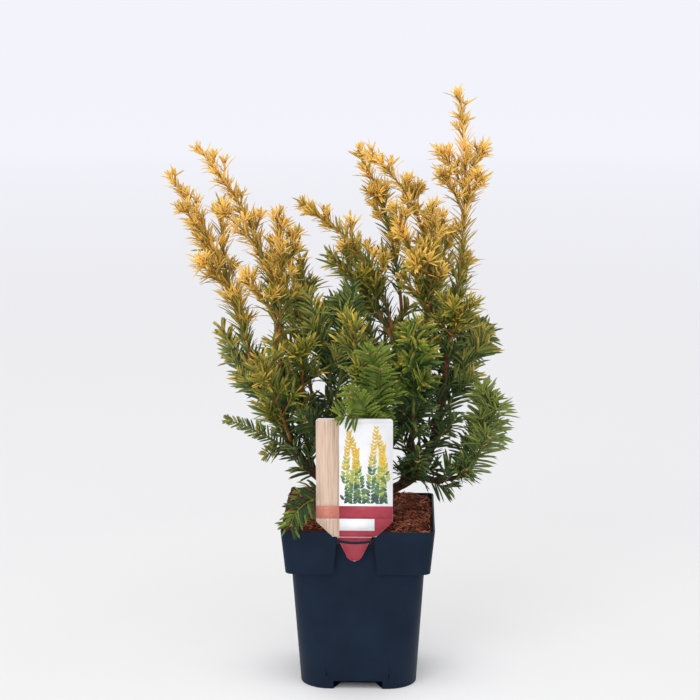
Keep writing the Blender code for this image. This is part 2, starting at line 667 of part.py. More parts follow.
def spiked_twig(name, path, radius, length, comb, upper, space, owner, bare_bands, finish):
    """A three-sided twig whose faces rise, band by band, into needles that lean towards the tip.

    A comb carries them on its two upper faces only; any other twig turns as it goes and carries them all round.
    Upper is the side that a comb turns up, which is the sky's side if it is None.
    A needle that would leave the mass's own space is left out, so that its face stays flat.
    """
    if upper is None:
        upper = np.cross(square_to(path[1] - path[0]), path[1] - path[0])
    tangents, normals, across = frames(path, upper)
    bands = len(path) - 1
    points, faces, rods = [], [], []
    for row in range(bands):
        turn = 0.0 if comb else row * TWIST
        thick = radius * (1 - 0.45 * row / bands)
        for corner in range(3):
            angle = turn + corner * 2 * math.pi / 3
            points.append(path[row] + thick * (math.cos(angle) * normals[row] + math.sin(angle) * across[row]))
    tip = len(points)
    points.append(path[-1])
    faces.append([2, 1, 0])
    lean = TWIG_LEAN if comb else STEM_LEAN
    for row in range(bands):
        for corner in range(3):
            following = (corner + 1) % 3
            foot = [row * 3 + corner, row * 3 + following]
            if row == bands - 1:
                faces.append([*foot, tip])
                continue
            head = [(row + 1) * 3 + following, (row + 1) * 3 + corner]
            root = np.mean([points[index] for index in foot + head], axis=0)
            middle = (path[row] + path[row + 1]) / 2
            outward = unit(root - middle)
            if comb:
                outward = unit(across[row] * (1 if outward @ across[row] > 0 else -1) + 0.18 * normals[row])
            reach = needle_reach(length, row / bands)
            end = root + reach * (math.cos(lean) * outward + math.sin(lean) * tangents[row])
            bare = row < bare_bands or corner == (1 if comb else row % 3)
            if bare or not outside_pot(root, end) or not space.clear(root, end, NEEDLE_HALF_WIDTH, owner):
                faces.append([*foot, head[0]])
                faces.append([foot[0], head[0], head[1]])
                continue
            apex = len(points)
            points.append(end)
            ring = foot + head
            faces.extend([ring[k], ring[(k + 1) % 4], apex] for k in range(4))
            rods.append((root, end))
    if rods:
        starts, ends = np.array(rods).transpose(1, 0, 2)
        space.add(starts, ends, np.full(len(rods), NEEDLE_HALF_WIDTH), owner)
    return mesh_object(name, points, faces, finish)


def banded(path):
    """The same curve, with one point for each band of needles."""
    length = np.linalg.norm(np.diff(path, axis=0), axis=1).sum()
    count = max(3, round(length / BAND) + 1)
    steps = np.concatenate([[0], np.cumsum(np.linalg.norm(np.diff(path, axis=0), axis=1))])
    wanted = np.linspace(0, steps[-1], count)
    return np.stack([np.interp(wanted, steps, path[:, axis]) for axis in range(3)], axis=1)


def room_along(path, radius, space, owner):
    """The part of a path, from its foot, that stays in the mass's own space."""
    count = 1
    while count < len(path):
        end = path[count]
        if not outside_pot(path[count - 1], end) or not space.clear(path[count - 1], end, radius, owner):
            break
        count += 1
    return path[:count]


def side_twigs(stem, count, longest, chance):
    """Side twigs by the golden angle: each leaves its stem at a set spread and then lifts towards the light."""
    twigs = []
    tangents, normals, across = frames(stem, square_to(stem[1] - stem[0]))
    turn = chance.uniform(0, 2 * math.pi)
    for number in range(count):
        share = FIRST_TWIG_SHARE + (LAST_TWIG_SHARE - FIRST_TWIG_SHARE) * (number + 0.5) / count
        foot, forward = along(stem, share)
        row = min(int(share * (len(stem) - 1)), len(stem) - 2)
        turn += GOLDEN_ANGLE + chance.uniform(-0.25, 0.25)
        outward = math.cos(turn) * normals[row] + math.sin(turn) * across[row]
        spread = TWIG_SPREAD + chance.uniform(-0.12, 0.12)
        length = longest * (1.0 - 0.55 * share) * chance.uniform(0.80, 1.15)
        heading = unit(math.cos(spread) * forward + math.sin(spread) * outward)
        tip = foot + length * unit(heading + TWIG_LIFT * UP)
        bow = 0.10 * length * (heading - UP * 0.5)
        twigs.append(bowed(foot, tip, bow, 12))
    return twigs


def stem_tube_rods(path, radius):
    return path[:-1], path[1:], np.full(len(path) - 1, radius)


def make_masses(limbs, finishes):
    """Every mass: stems first, so that each keeps its place, then side twigs and needles in turns."""
    space = Space()
    for limb in limbs.values():
        space.add(limb.path[:-1], limb.path[1:], (limb.radii[:-1] + limb.radii[1:]) / 2 + 0.0004, -1)
    plans = []
    for owner, (name, row) in enumerate(MASSES.items()):
        parent, share, tip, bow, count, longest, needle, tint, forks = row
        foot, _ = along(limbs[parent].path, share)
        stem = banded(bowed(foot, tip, bow, 24))
        chance = random.Random(SEED + owner)
        paths = [stem]
        for fork_share, fork_tip in forks:
            fork_foot, forward = along(stem, fork_share)
            reach = np.linalg.norm(np.array(fork_tip) - fork_foot)
            paths.append(banded(bowed(fork_foot, fork_tip, 0.12 * reach * forward, 16)))
        space.add(*stem_tube_rods(stem, STEM_RADIUS), owner)
        for path in paths[1:]:
            space.add(*stem_tube_rods(path, TWIG_RADIUS), owner)
        twigs = [banded(twig) for twig in side_twigs(stem, count, longest, chance)]
        plans.append((owner, name, needle, tint, parent, stem, paths[1:], twigs))
    ready = []
    for owner, name, needle, tint, parent, stem, forks, twigs in plans:
        grown = []
        for twig in twigs:
            room = room_along(twig, TWIG_RADIUS + 0.0006, space, owner)
            if len(room) >= 4:
                grown.append(room)
                space.add(*stem_tube_rods(room, TWIG_RADIUS), owner)
        ready.append((owner, name, needle, tint, parent, stem, forks, grown))
    for owner, name, needle, tint, parent, stem, forks, grown in ready:
        finish = finishes[tint]
        flat = tint in SHADE_TINTS
        upper = FRONT_UPPER if name in FRONT_COMBS else None
        made = spiked_twig(name, stem, STEM_RADIUS, needle, flat, upper, space, owner, 2, finish)
        parts = [spiked_twig("twig", path, TWIG_RADIUS, needle * 0.95, flat, upper, space, owner, 1, finish)
                 for path in forks]
        parts += [spiked_twig("twig", path, TWIG_RADIUS, needle, True, upper, space, owner, 1, finish)
                  for path in grown]
        if parts:
            boolean(made, "UNION", parts, "MANIFOLD")
        for other in limbs.values():
            if near(stem, STEM_RADIUS, other):
                boolean(made, "DIFFERENCE", [other.cutter()], "MANIFOLD")
        keep_largest_body(made)


def main():
    clear_scene()
    make_pot()
    make_soil()
    make_label()
    limbs = make_limbs(material("bark", (0.16, 0.085, 0.035), 0.8))
    make_masses(limbs, {tint: material(f"{tint} needles", colour, 0.5) for tint, colour in TINTS.items()})


main()
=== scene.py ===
import math
import random

import bmesh
import bpy
import numpy as np
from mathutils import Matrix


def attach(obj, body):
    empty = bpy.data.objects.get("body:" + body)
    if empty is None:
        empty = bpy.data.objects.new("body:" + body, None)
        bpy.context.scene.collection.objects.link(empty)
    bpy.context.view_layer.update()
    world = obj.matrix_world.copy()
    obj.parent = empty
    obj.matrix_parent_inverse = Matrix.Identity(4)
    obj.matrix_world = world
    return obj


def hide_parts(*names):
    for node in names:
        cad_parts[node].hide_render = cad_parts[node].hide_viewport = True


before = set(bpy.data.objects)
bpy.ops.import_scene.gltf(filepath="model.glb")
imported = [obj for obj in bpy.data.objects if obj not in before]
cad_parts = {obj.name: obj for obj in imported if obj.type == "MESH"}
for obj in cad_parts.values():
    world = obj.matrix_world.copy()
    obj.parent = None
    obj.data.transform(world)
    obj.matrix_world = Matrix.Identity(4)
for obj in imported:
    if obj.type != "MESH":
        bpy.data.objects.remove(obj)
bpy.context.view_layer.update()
print("frame loaded:", len(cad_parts), "nodes")

up = np.array((0.0, 0.0, 1.0))


# Camera, light and floor

viewSettings = {
    "focalPixels": 2000.0,        # focal length in pixels of a 700 pixel frame
    "framePixels": 700.0,
    "sensorMm": 36.0,
    "nearest": 0.05,
    "place": (0.04164, -1.67950, 0.61000),
    "lookDownDeg": 10.9,
    "turnDeg": 1.7,
}

lightSettings = {
    "sky": (0.975, 0.985, 1.0),
    "skyStrength": 1.03,
    "aim": (0.0, 0.0, 0.25),
    "top": {"place": (0.1, -0.5, 1.9), "size": 1.5, "watts": 7.0},
    "front": {"place": (-1.2, -2.2, 1.3), "size": 1.4, "watts": 12.0},
}

floorSettings = {
    "half": 45.0,
    "end": 5.0,
    # distance from the pot in metres, and the paper's tone there, which holds painted light: brighter near
    # the pot against its shadow, brighter and bluer far off
    "tones": (
        (0.10, (0.915, 0.905, 0.905)),
        (0.18, (0.830, 0.821, 0.821)),
        (0.28, (0.782, 0.773, 0.773)),
        (0.55, (0.757, 0.748, 0.750)),
        (5.00, (0.890, 0.884, 0.940)),
    ),
}


def linear(red, green, blue):
    # colour as it looks on screen, 0 to 255, turned into the light values that a shader takes
    share = np.array((red, green, blue)) / 255.0
    return tuple(np.where(share <= 0.04045, share / 12.92, ((share + 0.055) / 1.055) ** 2.4))


def aimAt(thing, target):
    # turned so that the thing's own downward axis points at the target
    away = np.array(target) - np.array(thing.location)
    level = math.hypot(away[0], away[1])
    thing.rotation_euler = (math.atan2(level, -away[2]), 0.0, math.atan2(away[1], away[0]) - math.pi / 2)


def makeCamera(settings):
    # a long lens that looks a little down on the plant
    data = bpy.data.cameras.new("camera")
    data.sensor_width = settings["sensorMm"]
    data.lens = settings["sensorMm"] * settings["focalPixels"] / settings["framePixels"]
    data.clip_start = settings["nearest"]
    camera = bpy.data.objects.new("camera", data)
    camera.location = settings["place"]
    tilt, turn = math.radians(90 - settings["lookDownDeg"]), math.radians(settings["turnDeg"])
    camera.rotation_euler = (tilt, 0.0, turn)
    bpy.context.scene.collection.objects.link(camera)
    bpy.context.scene.camera = camera


def makeLights(settings):
    # a bright even sky, with one soft lamp above and one at the front left
    world = bpy.data.worlds.new("soft box")
    bpy.context.scene.world = world
    world.use_nodes = True
    background = world.node_tree.nodes["Background"]
    background.inputs["Color"].default_value = (*settings["sky"], 1.0)
    background.inputs["Strength"].default_value = settings["skyStrength"]
    for name in ("top", "front"):
        data = bpy.data.lights.new(name + " softbox", "AREA")
        data.shape = "SQUARE"
        data.size = settings[name]["size"]
        data.energy = settings[name]["watts"]
        light = bpy.data.objects.new(name + " softbox", data)
        light.location = settings[name]["place"]
        aimAt(light, settings["aim"])
        bpy.context.scene.collection.objects.link(light)


# Mesh helpers: every piece is whole arrays of points and faces


def unitRows(rows):
    # each row divided by its own length
    return rows / np.maximum(1e-9, np.linalg.norm(rows, axis=-1, keepdims=True))


def gridFaces(rows, columns, wrap=False):
    # four-cornered faces of a grid of points; wrap joins the last column to the first
    across = np.arange(columns if wrap else columns - 1)
    near = np.arange(rows - 1)[:, None] * columns + across
    nearNext = np.arange(rows - 1)[:, None] * columns + (across + 1) % columns
    return np.stack([near, nearNext, nearNext + columns, near + columns], axis=-1).reshape(-1, 4)


def fanFaces(ring, hub, inward=False):
    # triangles from each pair of neighbours in a ring to one point, all given by number
    pair = (np.roll(ring, -1), ring) if inward else (ring, np.roll(ring, -1))
    return np.stack([*pair, np.full(len(ring), hub)], axis=1)


def cappedFaces(rows, around, slot):
    # a tube of rings with a flat cap at each end, which takes the nearest face's slot
    cap = np.arange(around)[None]
    ends = np.ravel(slot)
    return [
        (gridFaces(rows, around, wrap=True), slot),
        (cap[:, ::-1], ends[:1]),
        (cap + (rows - 1) * around, ends[-1:]),
    ]


def closedShell(rings, hubs):
    # rings joined one to the next, with each end drawn together at its own middle point
    count = len(rings[0])
    total = len(rings) * count
    column = np.arange(count)
    return np.concatenate([*rings, hubs]), [
        (gridFaces(len(rings), count, wrap=True), 0),
        (fanFaces(column, total, inward=True), 0),
        (fanFaces(total - count + column, total + 1), 0),
    ]


def copiedFaces(faces, count, size):
    # the same faces for each of count shapes that have size points apiece
    return (faces[None] + (np.arange(count) * size)[:, None, None]).reshape(-1, faces.shape[1])


def quarterTurn(quarter):
    # turns rows of x and y by so many right angles
    turn = quarter * math.pi / 2
    return np.array(((math.cos(turn), math.sin(turn)), (-math.sin(turn), math.cos(turn))))


class Pile:
    # gathers the points and faces of many small shapes that become one piece

    def __init__(self):
        self.points = []
        self.faces = {}
        self.count = 0

    def add(self, points, faceSets):
        # faceSets: pairs of face corners, an (n, k) array, and a slot number or an array of them
        points = np.asarray(points).reshape(-1, 3)
        for faces, slot in faceSets:
            held = self.faces.setdefault(faces.shape[1], ([], []))
            held[0].append(faces + self.count)
            held[1].append(np.broadcast_to(slot, len(faces)))
        self.points.append(points)
        self.count += len(points)

    def triangles(self):
        # a face with n corners makes n - 2 of them
        return sum((corners - 2) * sum(map(len, held[0])) for corners, held in self.faces.items())


def makePiece(name, pile, finishes, smooth=True):
    # one mesh from the pile's arrays, put in as whole arrays too
    mesh = bpy.data.meshes.new(name)
    points = np.concatenate(pile.points).astype(np.float32)
    corners = [np.concatenate(held[0]) for held in pile.faces.values()]
    slots = np.concatenate([np.concatenate(held[1]) for held in pile.faces.values()])
    sizes = np.concatenate([np.full(len(faces), faces.shape[1]) for faces in corners])
    flat = np.concatenate([faces.ravel() for faces in corners])
    mesh.vertices.add(len(points))
    mesh.vertices.foreach_set("co", points.ravel())
    mesh.loops.add(len(flat))
    mesh.loops.foreach_set("vertex_index", flat.astype(np.int32))
    mesh.polygons.add(len(sizes))
    mesh.polygons.foreach_set("loop_start", (np.cumsum(sizes) - sizes).astype(np.int32))
    mesh.polygons.foreach_set("material_index", slots.astype(np.int32))
    for finish in finishes:
        mesh.materials.append(finish)
    mesh.update(calc_edges=True)
    mesh.validate()
    if smooth:
        mesh.shade_smooth()
    piece = bpy.data.objects.new(name, mesh)
    bpy.context.scene.collection.objects.link(piece)
    print(f"{name}: {pile.triangles()} triangles")
    return piece


def keep(piece, slot, *nodes):
    # every piece rides on the one body, and stands in for the nodes named
    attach(piece, "root")
    if nodes:
        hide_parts(*nodes)
    return piece


# Finishes


def newFinish(name, roughness, specular=0.5):
    # a plain surface with its shader still to be coloured
    finish = bpy.data.materials.new(name)
    finish.use_nodes = True
    shader = finish.node_tree.nodes["Principled BSDF"]
    shader.inputs["Roughness"].default_value = roughness
    shader.inputs["Specular IOR Level"].default_value = specular
    return finish, finish.node_tree, shader


def placed(tree, scale=(1.0, 1.0, 1.0), turn=(0.0, 0.0, 0.0)):
    # object coordinates through a mapping, so that a pattern has a real size in metres
    coordinates = tree.nodes.new("ShaderNodeTexCoord")
    mapping = tree.nodes.new("ShaderNodeMapping")
    mapping.inputs["Scale"].default_value = scale
    mapping.inputs["Rotation"].default_value = turn
    tree.links.new(coordinates.outputs["Object"], mapping.inputs["Vector"])
    return mapping.outputs["Vector"]


def cloud(tree, vector, scale, detail=3.0, roughness=0.55):
    # soft noise with about scale patches in each metre
    noise = tree.nodes.new("ShaderNodeTexNoise")
    noise.inputs["Scale"].default_value = scale
    noise.inputs["Detail"].default_value = detail
    noise.inputs["Roughness"].default_value = roughness
    tree.links.new(vector, noise.inputs["Vector"])
    return noise.outputs["Fac"]


def ramp(tree, factor, stops):
    # stops: pairs of place and colour
    node = tree.nodes.new("ShaderNodeValToRGB")
    while len(node.color_ramp.elements) < len(stops):
        node.color_ramp.elements.new(0.5)
    for element, (place, colour) in zip(node.color_ramp.elements, stops):
        element.position = place
        element.color = (*colour, 1.0)
    tree.links.new(factor, node.inputs["Fac"])
    return node.outputs["Color"]


def bumped(tree, shader, height, distance, strength=1.0):
    # fine relief of the given depth in metres
    bump = tree.nodes.new("ShaderNodeBump")
    bump.inputs["Distance"].default_value = distance
    bump.inputs["Strength"].default_value = strength
    tree.links.new(height, bump.inputs["Height"])
    tree.links.new(bump.outputs["Normal"], shader.inputs["Normal"])


def mottledFinish(name, dark, light, roughness, scale, specular=0.5, bumpMm=0.0):
    # two tones in soft clouds of the given size
    finish, tree, shader = newFinish(name, roughness, specular)
    factor = cloud(tree, placed(tree), scale)
    tree.links.new(ramp(tree, factor, ((0.36, dark), (0.64, light))), shader.inputs["Base Color"])
    if bumpMm:
        bumped(tree, shader, cloud(tree, placed(tree), scale * 3), bumpMm / 1000)
    return finish


# Limbs: parent, share of its length where the limb springs, tip, bow, radius at the foot and at the tip

limbPlan = {
    "bough_left": ("trunk", 0.45, (-0.062, -0.008, 0.214), (-0.014, -0.003, -0.022), 0.0042, 0.0030),
    "bough_right": ("trunk", 0.50, (0.066, 0.000, 0.220), (0.023, -0.002, -0.032), 0.0044, 0.0032),
    "bough_centre": ("trunk", 1.00, (0.042, 0.002, 0.232), (0.006, 0.000, -0.008), 0.0040, 0.0030),
    "bough_front": ("trunk", 0.55, (0.012, -0.034, 0.214), (0.002, -0.008, -0.010), 0.0034, 0.0024),
    "bough_middle": ("trunk", 0.95, (-0.024, 0.008, 0.240), (-0.008, 0.000, -0.004), 0.0034, 0.0024),
    "bough_back": ("trunk", 0.70, (0.020, 0.052, 0.236), (0.004, 0.012, -0.010), 0.0038, 0.0028),
    "bough_back_left": ("trunk", 0.60, (-0.040, 0.048, 0.226), (-0.008, 0.008, -0.012), 0.0034, 0.0026),
    "limb_left_tall": ("bough_left", 1.00, (-0.071, -0.003, 0.302), (0.002, 0.000, 0.002), 0.0029, 0.0020),
    "limb_left_outer": ("bough_left", 0.88, (-0.093, 0.008, 0.266), (-0.006, 0.004, -0.006), 0.0024, 0.0018),
    "limb_left_inner": ("bough_left", 0.55, (-0.052, 0.012, 0.250), (-0.004, 0.006, -0.004), 0.0024, 0.0018),
    "limb_right_tall": ("bough_right", 1.00, (0.077, 0.004, 0.302), (0.003, 0.000, 0.002), 0.0031, 0.0021),
    "limb_right_low": ("bough_right", 0.50, (0.093, -0.018, 0.183), (0.004, -0.004, -0.007), 0.0024, 0.0018),
    "limb_centre_tall": ("bough_centre", 1.00, (0.060, 0.004, 0.314), (0.004, 0.001, 0.000), 0.0029, 0.0020),
    "limb_centre_arch": ("bough_centre", 0.80, (0.028, 0.016, 0.298), (0.002, 0.008, 0.000), 0.0024, 0.0018),
    "limb_centre_fork": ("bough_back", 1.00, (0.036, 0.040, 0.312), (0.004, 0.004, 0.000), 0.0026, 0.0019),
    "limb_front_right": (
        "bough_right", 0.34, (0.046, -0.032, 0.236), (0.004, -0.012, -0.012), 0.0026, 0.0019),
    "limb_back_right": ("bough_back", 0.60, (0.062, 0.060, 0.266), (0.004, 0.008, -0.008), 0.0026, 0.0019),
}

# Masses of foliage: limb, share along it, the stem's tip and bow, side twigs, longest twig, needle length,
# tint, and forks, each by its share along the stem and its tip

massPlan = {
    "left_tall": (
        "limb_left_tall", 1.0, (-0.136, 0.005, 0.457), (0.028, 0.004, 0.014), 7, 0.035, 0.017, "gold",
        ((0.42, (-0.117, -0.020, 0.409)),)),
    "left_crest": (
        "limb_left_tall", 0.86, (-0.070, -0.015, 0.410), (0.006, -0.004, 0.006), 4, 0.034, 0.018, "gold",
        ((0.50, (-0.056, 0.008, 0.386)), (0.15, (-0.099, -0.020, 0.352)))),
    "left_outer": (
        "limb_left_outer", 1.0, (-0.165, 0.030, 0.434), (0.020, 0.010, 0.004), 4, 0.030, 0.017, "gold",
        ((0.60, (-0.152, 0.008, 0.409)), (0.38, (-0.137, -0.002, 0.364)))),
    "left_outer_back": (
        "limb_left_outer", 0.9, (-0.150, 0.048, 0.392), (0.014, 0.008, 0.004), 4, 0.032, 0.018, "gold",
        ((0.50, (-0.124, 0.058, 0.408)),)),
    "left_spur": (
        "limb_left_outer", 0.50, (-0.122, 0.022, 0.305), (-0.004, 0.004, -0.004), 4, 0.024, 0.018, "green",
        ()),
    "left_low": (
        "bough_left", 0.70, (-0.118, 0.002, 0.225), (0.000, 0.000, 0.010), 1, 0.014, 0.013, "green",
        ((0.22, (-0.084, -0.016, 0.196)),)),
    "left_front": (
        "bough_left", 0.92, (-0.082, -0.050, 0.290), (0.004, -0.010, -0.006), 5, 0.034, 0.023, "olive",
        ()),
    "left_inner": (
        "limb_left_inner", 1.0, (-0.050, 0.020, 0.362), (0.002, 0.000, 0.000), 6, 0.038, 0.022, "olive",
        ()),
    "left_inner_front": (
        "limb_left_inner", 0.9, (-0.046, -0.026, 0.300), (0.002, -0.006, -0.004), 4, 0.032, 0.022, "olive",
        ()),
    "left_label": (
        "bough_middle", 0.45, (-0.048, -0.044, 0.240), (-0.004, -0.008, -0.004), 3, 0.024, 0.018, "dark",
        ()),
    "rim_spray": (
        "trunk", 0.34, (-0.0562, -0.086, 0.150), (-0.0245, -0.050, 0.0366), 1, 0.014, 0.022, "fresh",
        ()),
    "middle_left": (
        "bough_middle", 1.0, (-0.045, -0.006, 0.338), (0.008, 0.000, 0.000), 5, 0.032, 0.022, "green",
        ()),
    "middle_right": (
        "bough_middle", 0.88, (-0.008, -0.014, 0.345), (0.004, 0.000, 0.000), 5, 0.034, 0.023, "dark",
        ((0.55, (-0.024, 0.014, 0.326)),)),
    "centre_arch": (
        "limb_centre_arch", 1.0, (-0.053, -0.005, 0.414), (0.029, 0.003, 0.019), 7, 0.034, 0.017, "gold",
        ()),
    "centre_arch_low": (
        "limb_centre_arch", 0.88, (-0.026, 0.004, 0.368), (0.010, 0.000, 0.010), 5, 0.034, 0.022, "olive",
        ()),
    "centre_fork": (
        "limb_centre_fork", 1.0, (-0.001, 0.034, 0.452), (0.012, 0.007, 0.014), 6, 0.033, 0.018, "gold",
        ((0.66, (0.012, 0.024, 0.418)),)),
    "centre_tall": (
        "limb_centre_tall", 1.0, (0.007, -0.005, 0.454), (0.033, 0.005, 0.029), 6, 0.031, 0.017, "gold",
        ((0.62, (0.049, 0.012, 0.421)),)),
    "centre_front": (
        "limb_centre_tall", 0.90, (0.027, -0.028, 0.416), (0.006, -0.002, 0.006), 5, 0.033, 0.018, "gold",
        ()),
    "centre_gold": (
        "limb_centre_tall", 0.80, (0.061, -0.020, 0.418), (0.002, -0.008, 0.004), 6, 0.033, 0.018, "gold",
        ((0.45, (0.046, -0.038, 0.368)),)),
    "right_tall": (
        "limb_right_tall", 1.0, (0.082, 0.010, 0.512), (0.019, 0.004, 0.008), 5, 0.024, 0.017, "gold",
        ((0.56, (0.069, 0.014, 0.456)), (0.60, (0.105, 0.022, 0.458)),
         (0.50, (0.103, -0.004, 0.437)), (0.47, (0.068, -0.012, 0.441)))),
    "right_edge": (
        "limb_right_tall", 0.92, (0.088, 0.032, 0.366), (0.004, 0.004, 0.000), 5, 0.028, 0.019, "olive",
        ()),
    "right_front": (
        "limb_right_tall", 0.84, (0.078, -0.030, 0.330), (0.004, -0.006, -0.004), 5, 0.034, 0.022, "olive",
        ((0.40, (0.094, -0.024, 0.334)),)),
    "right_spur": (
        "bough_right", 0.97, (0.108, 0.020, 0.302), (0.002, 0.002, 0.000), 6, 0.034, 0.022, "green",
        ()),
    "right_nub": (
        "bough_right", 0.88, (0.084, -0.028, 0.236), (0.000, -0.004, -0.004), 2, 0.016, 0.015, "dark",
        ()),
    "right_inner": (
        "bough_centre", 0.62, (0.056, -0.042, 0.262), (0.004, -0.008, -0.006), 5, 0.034, 0.022, "dark",
        ()),
    "label_side": (
        "bough_right", 0.42, (0.050, -0.056, 0.204), (0.004, -0.006, 0.004), 4, 0.026, 0.018, "dark",
        ()),
    "right_low_up": (
        "limb_right_low", 1.0, (0.104, -0.016, 0.261), (0.019, -0.005, -0.002), 6, 0.034, 0.022, "fresh",
        ()),
    "right_low_front": (
        "limb_right_low", 0.78, (0.086, -0.046, 0.191), (0.004, -0.004, 0.006), 3, 0.024, 0.018, "dark",
        ()),
    "right_low_back": (
        "limb_right_low", 0.88, (0.108, 0.026, 0.222), (0.000, 0.004, 0.002), 3, 0.026, 0.020, "dark",
        ()),
    "front_fan": (
        "bough_front", 1.0, (-0.010, -0.060, 0.327), (0.006, -0.010, 0.000), 6, 0.036, 0.023, "olive",
        ()),
    "front_comb": (
        "bough_front", 0.86, (0.007, -0.074, 0.303), (0.018, -0.010, 0.006), 6, 0.034, 0.022, "fresh",
        ()),
    "front_low": (
        "bough_front", 0.72, (-0.008, -0.080, 0.270), (0.016, -0.010, 0.014), 5, 0.030, 0.022, "fresh",
        ((0.55, (-0.018, -0.082, 0.247)),)),
    "front_right": (
        "limb_front_right", 1.0, (0.045, -0.054, 0.320), (0.002, -0.010, 0.000), 7, 0.036, 0.023, "green",
        ()),
    "back_left": (
        "bough_back_left", 1.0, (-0.078, 0.078, 0.362), (-0.002, 0.008, 0.000), 6, 0.038, 0.021, "olive",
        ()),
    "back_left_low": (
        "bough_back_left", 0.88, (-0.098, 0.076, 0.262), (-0.004, 0.004, -0.008), 6, 0.036, 0.023, "dark",
        ()),
    "back_middle": (
        "bough_back", 0.92, (-0.006, 0.098, 0.372), (-0.002, 0.012, 0.000), 5, 0.038, 0.021, "olive",
        ()),
    "back_low": (
        "bough_back", 0.80, (0.004, 0.112, 0.268), (0.000, 0.006, -0.010), 6, 0.036, 0.023, "dark", ()),
    "back_right": (
        "limb_back_right", 1.0, (0.070, 0.086, 0.396), (0.006, 0.008, 0.000), 7, 0.038, 0.020, "gold",
        ()),
    "back_right_low": (
        "limb_back_right", 0.88, (0.112, 0.078, 0.292), (0.004, 0.004, -0.008), 6, 0.036, 0.023, "dark",
        ()),
}

# In these combs the needles lie evenly
neatCombs = ("rim_spray", "front_comb", "front_low")

# These combs turn their upper side to the front
frontCombs = ("rim_spray", "front_comb", "front_low", "front_fan", "front_right")
frontUpper = np.array((0.10, -0.80, 0.60))

# Each crown piece takes the masses and limbs whose names start like this
crownPieces = {
    "left": ("left_", "bough_left", "limb_left"),
    "middle": ("rim_", "middle_", "front_", "label_", "bough_front", "bough_middle", "limb_front"),
    "centre": ("centre_", "bough_centre", "limb_centre"),
    "right": ("right_", "bough_right", "limb_right"),
    "back": ("back_", "bough_back", "limb_back"),
}

growth = {
    "seed": 20,
    "goldenAngle": math.radians(137.5),
    "firstShare": 0.14,           # where along a stem the side twigs start and end
    "lastShare": 0.86,
    "spread": math.radians(42),   # how far a twig leaves its stem
    "lift": 0.50,                 # how much it turns up to the light
    "turnSway": 0.25,
    "spreadSway": 0.12,
    "shorter": 0.55,              # share of its length that a twig loses towards the stem's tip
    "lengths": (0.80, 1.15),
    "twigBow": 0.10,
    "stemGap": 0.0078,            # between the points of a stem, and of a twig
    "twigGap": 0.003,
    "shadeTints": ("fresh", "green", "dark"),
    "stemRadius": 0.0017,
    "twigRadius": 0.0009,
    "tipRadius": 0.0005,
    "fillSeed": 700,
    "fillTwigs": 1.3,             # finer twigs for each of the source's own
    "fillLength": 0.70,
    "fillShares": (0.22, 0.93),   # where along a leader they stand
    "forkTwigs": 3,
    "twigletGap": 0.010,          # between the smallest twigs
    "twigletLength": 0.015,
    "twigletShares": (0.25, 0.85),
    "twigletChance": 0.45,        # how many twigs of the greener masses carry them
    "tuft": 8,                    # needles that stand round the end of a shoot
    "smallTuft": 4,
    "crestTwigs": 4,              # short shoots that crowd below the tip of a golden leader
    "crestLength": 0.021,
    "crestShares": (0.82, 0.99),
    "crestCut": 0.0035,
    "tipCut": 0.006,              # the shoot stops short of its reach, and the tuft fills the rest
    "limbTwigGap": 0.014,
    "limbTwigLength": 0.032,
    "limbNeedle": 0.0185,         # young limbs still carry needles of their own
    "limbFade": 0.45,             # from this share of a bough on
    "limbFirst": 0.10,
    "limbLast": 0.98,
}

# Share of the source's spike length that a single needle has
needleScale = {
    "gold": 0.96, "olive": 1.08, "fresh": 0.96, "green": 1.06, "dark": 1.0,
    "rim_spray": 1.0, "right_low_up": 1.06, "right_tall": 1.06, "left_low": 0.9,
}

# Length at a stem's foot that carries no needles, where it isn't the usual one
bareFoot = {"rim_spray": 0.070, "right_low_up": 0.0}

# Share of the finer twigs that a mass grows, where the light shows through it
fillShare = {
    "right_low_up": 0.4, "right_spur": 0.25, "right_edge": 0.3, "right_front": 0.6, "right_inner": 0.5,
    "right_low_back": 0.4, "middle_left": 0.2, "left_inner": 0.7, "left_front": 0.5,
    "left_inner_front": 0.5, "back_middle": 0.6, "back_left": 0.6, "back_right": 0.6,
    "rim_spray": 0.0, "front_comb": 0.0, "front_low": 0.0,
}

# A few masses whose needles have another tone than their source's
otherTint = {"rim_spray": "green"}

needleSettings = {
    "halfWidth": 0.00098,
    "thickness": 0.00044,
    "stations": (0.0, 0.20, 0.52, 0.84),
    "widths": (0.45, 0.98, 1.00, 0.74),
    "gapRadial": 0.00110,         # shoot length for each needle, all round a shoot
    "gapComb": 0.00140,           # and in the two ranks of a comb
    "gapOnStem": 1.1,             # wider on a stem by this factor, and on a twig
    "gapOnTwig": 1.7,
    "usualLength": 0.0135,        # a needle of this length has the plain width
    "slimness": (0.94, 1.16),
    "seed": 41,
}

# How needles stand on a shoot: lean off it in degrees, and how far their ends swing out and sink
needleStand = {
    "gold": (27, 0.22, 0.02),
    "olive": (27, 0.22, 0.05),
    "green": (30, 0.18, 0.06),
    "fresh": (50, 0.02, 0.05),
    "dark": (38, 0.08, 0.10),
    "rim_spray": (52, -0.12, 0.20),
    "left_front": (34, 0.16, 0.10),
    "left_low": (48, 0.0, 0.02),
    "right_low_up": (50, 0.02, 0.13),
    "right_low_front": (54, -0.05, 0.22),
    "label_side": (54, -0.06, 0.26),
}

# How far each leader stops short of the source's tip, where it isn't the usual cut
leaderCut = {
    "right_tall": 0.0095, "left_tall": 0.0, "centre_fork": 0.0, "centre_tall": 0.0, "left_outer": 0.003,
}

# How far twigs and needles keep off the pot, the compost and the label
clearance = {
    "wall": 0.0015,
    "rim": 0.0040,
    "overRim": 0.0020,
    "overSoil": 0.0015,
    "card": 0.0010,
    "cardFace": 0.0018,
    "lowest": 0.1150,             # nothing hangs lower beside the pot
}


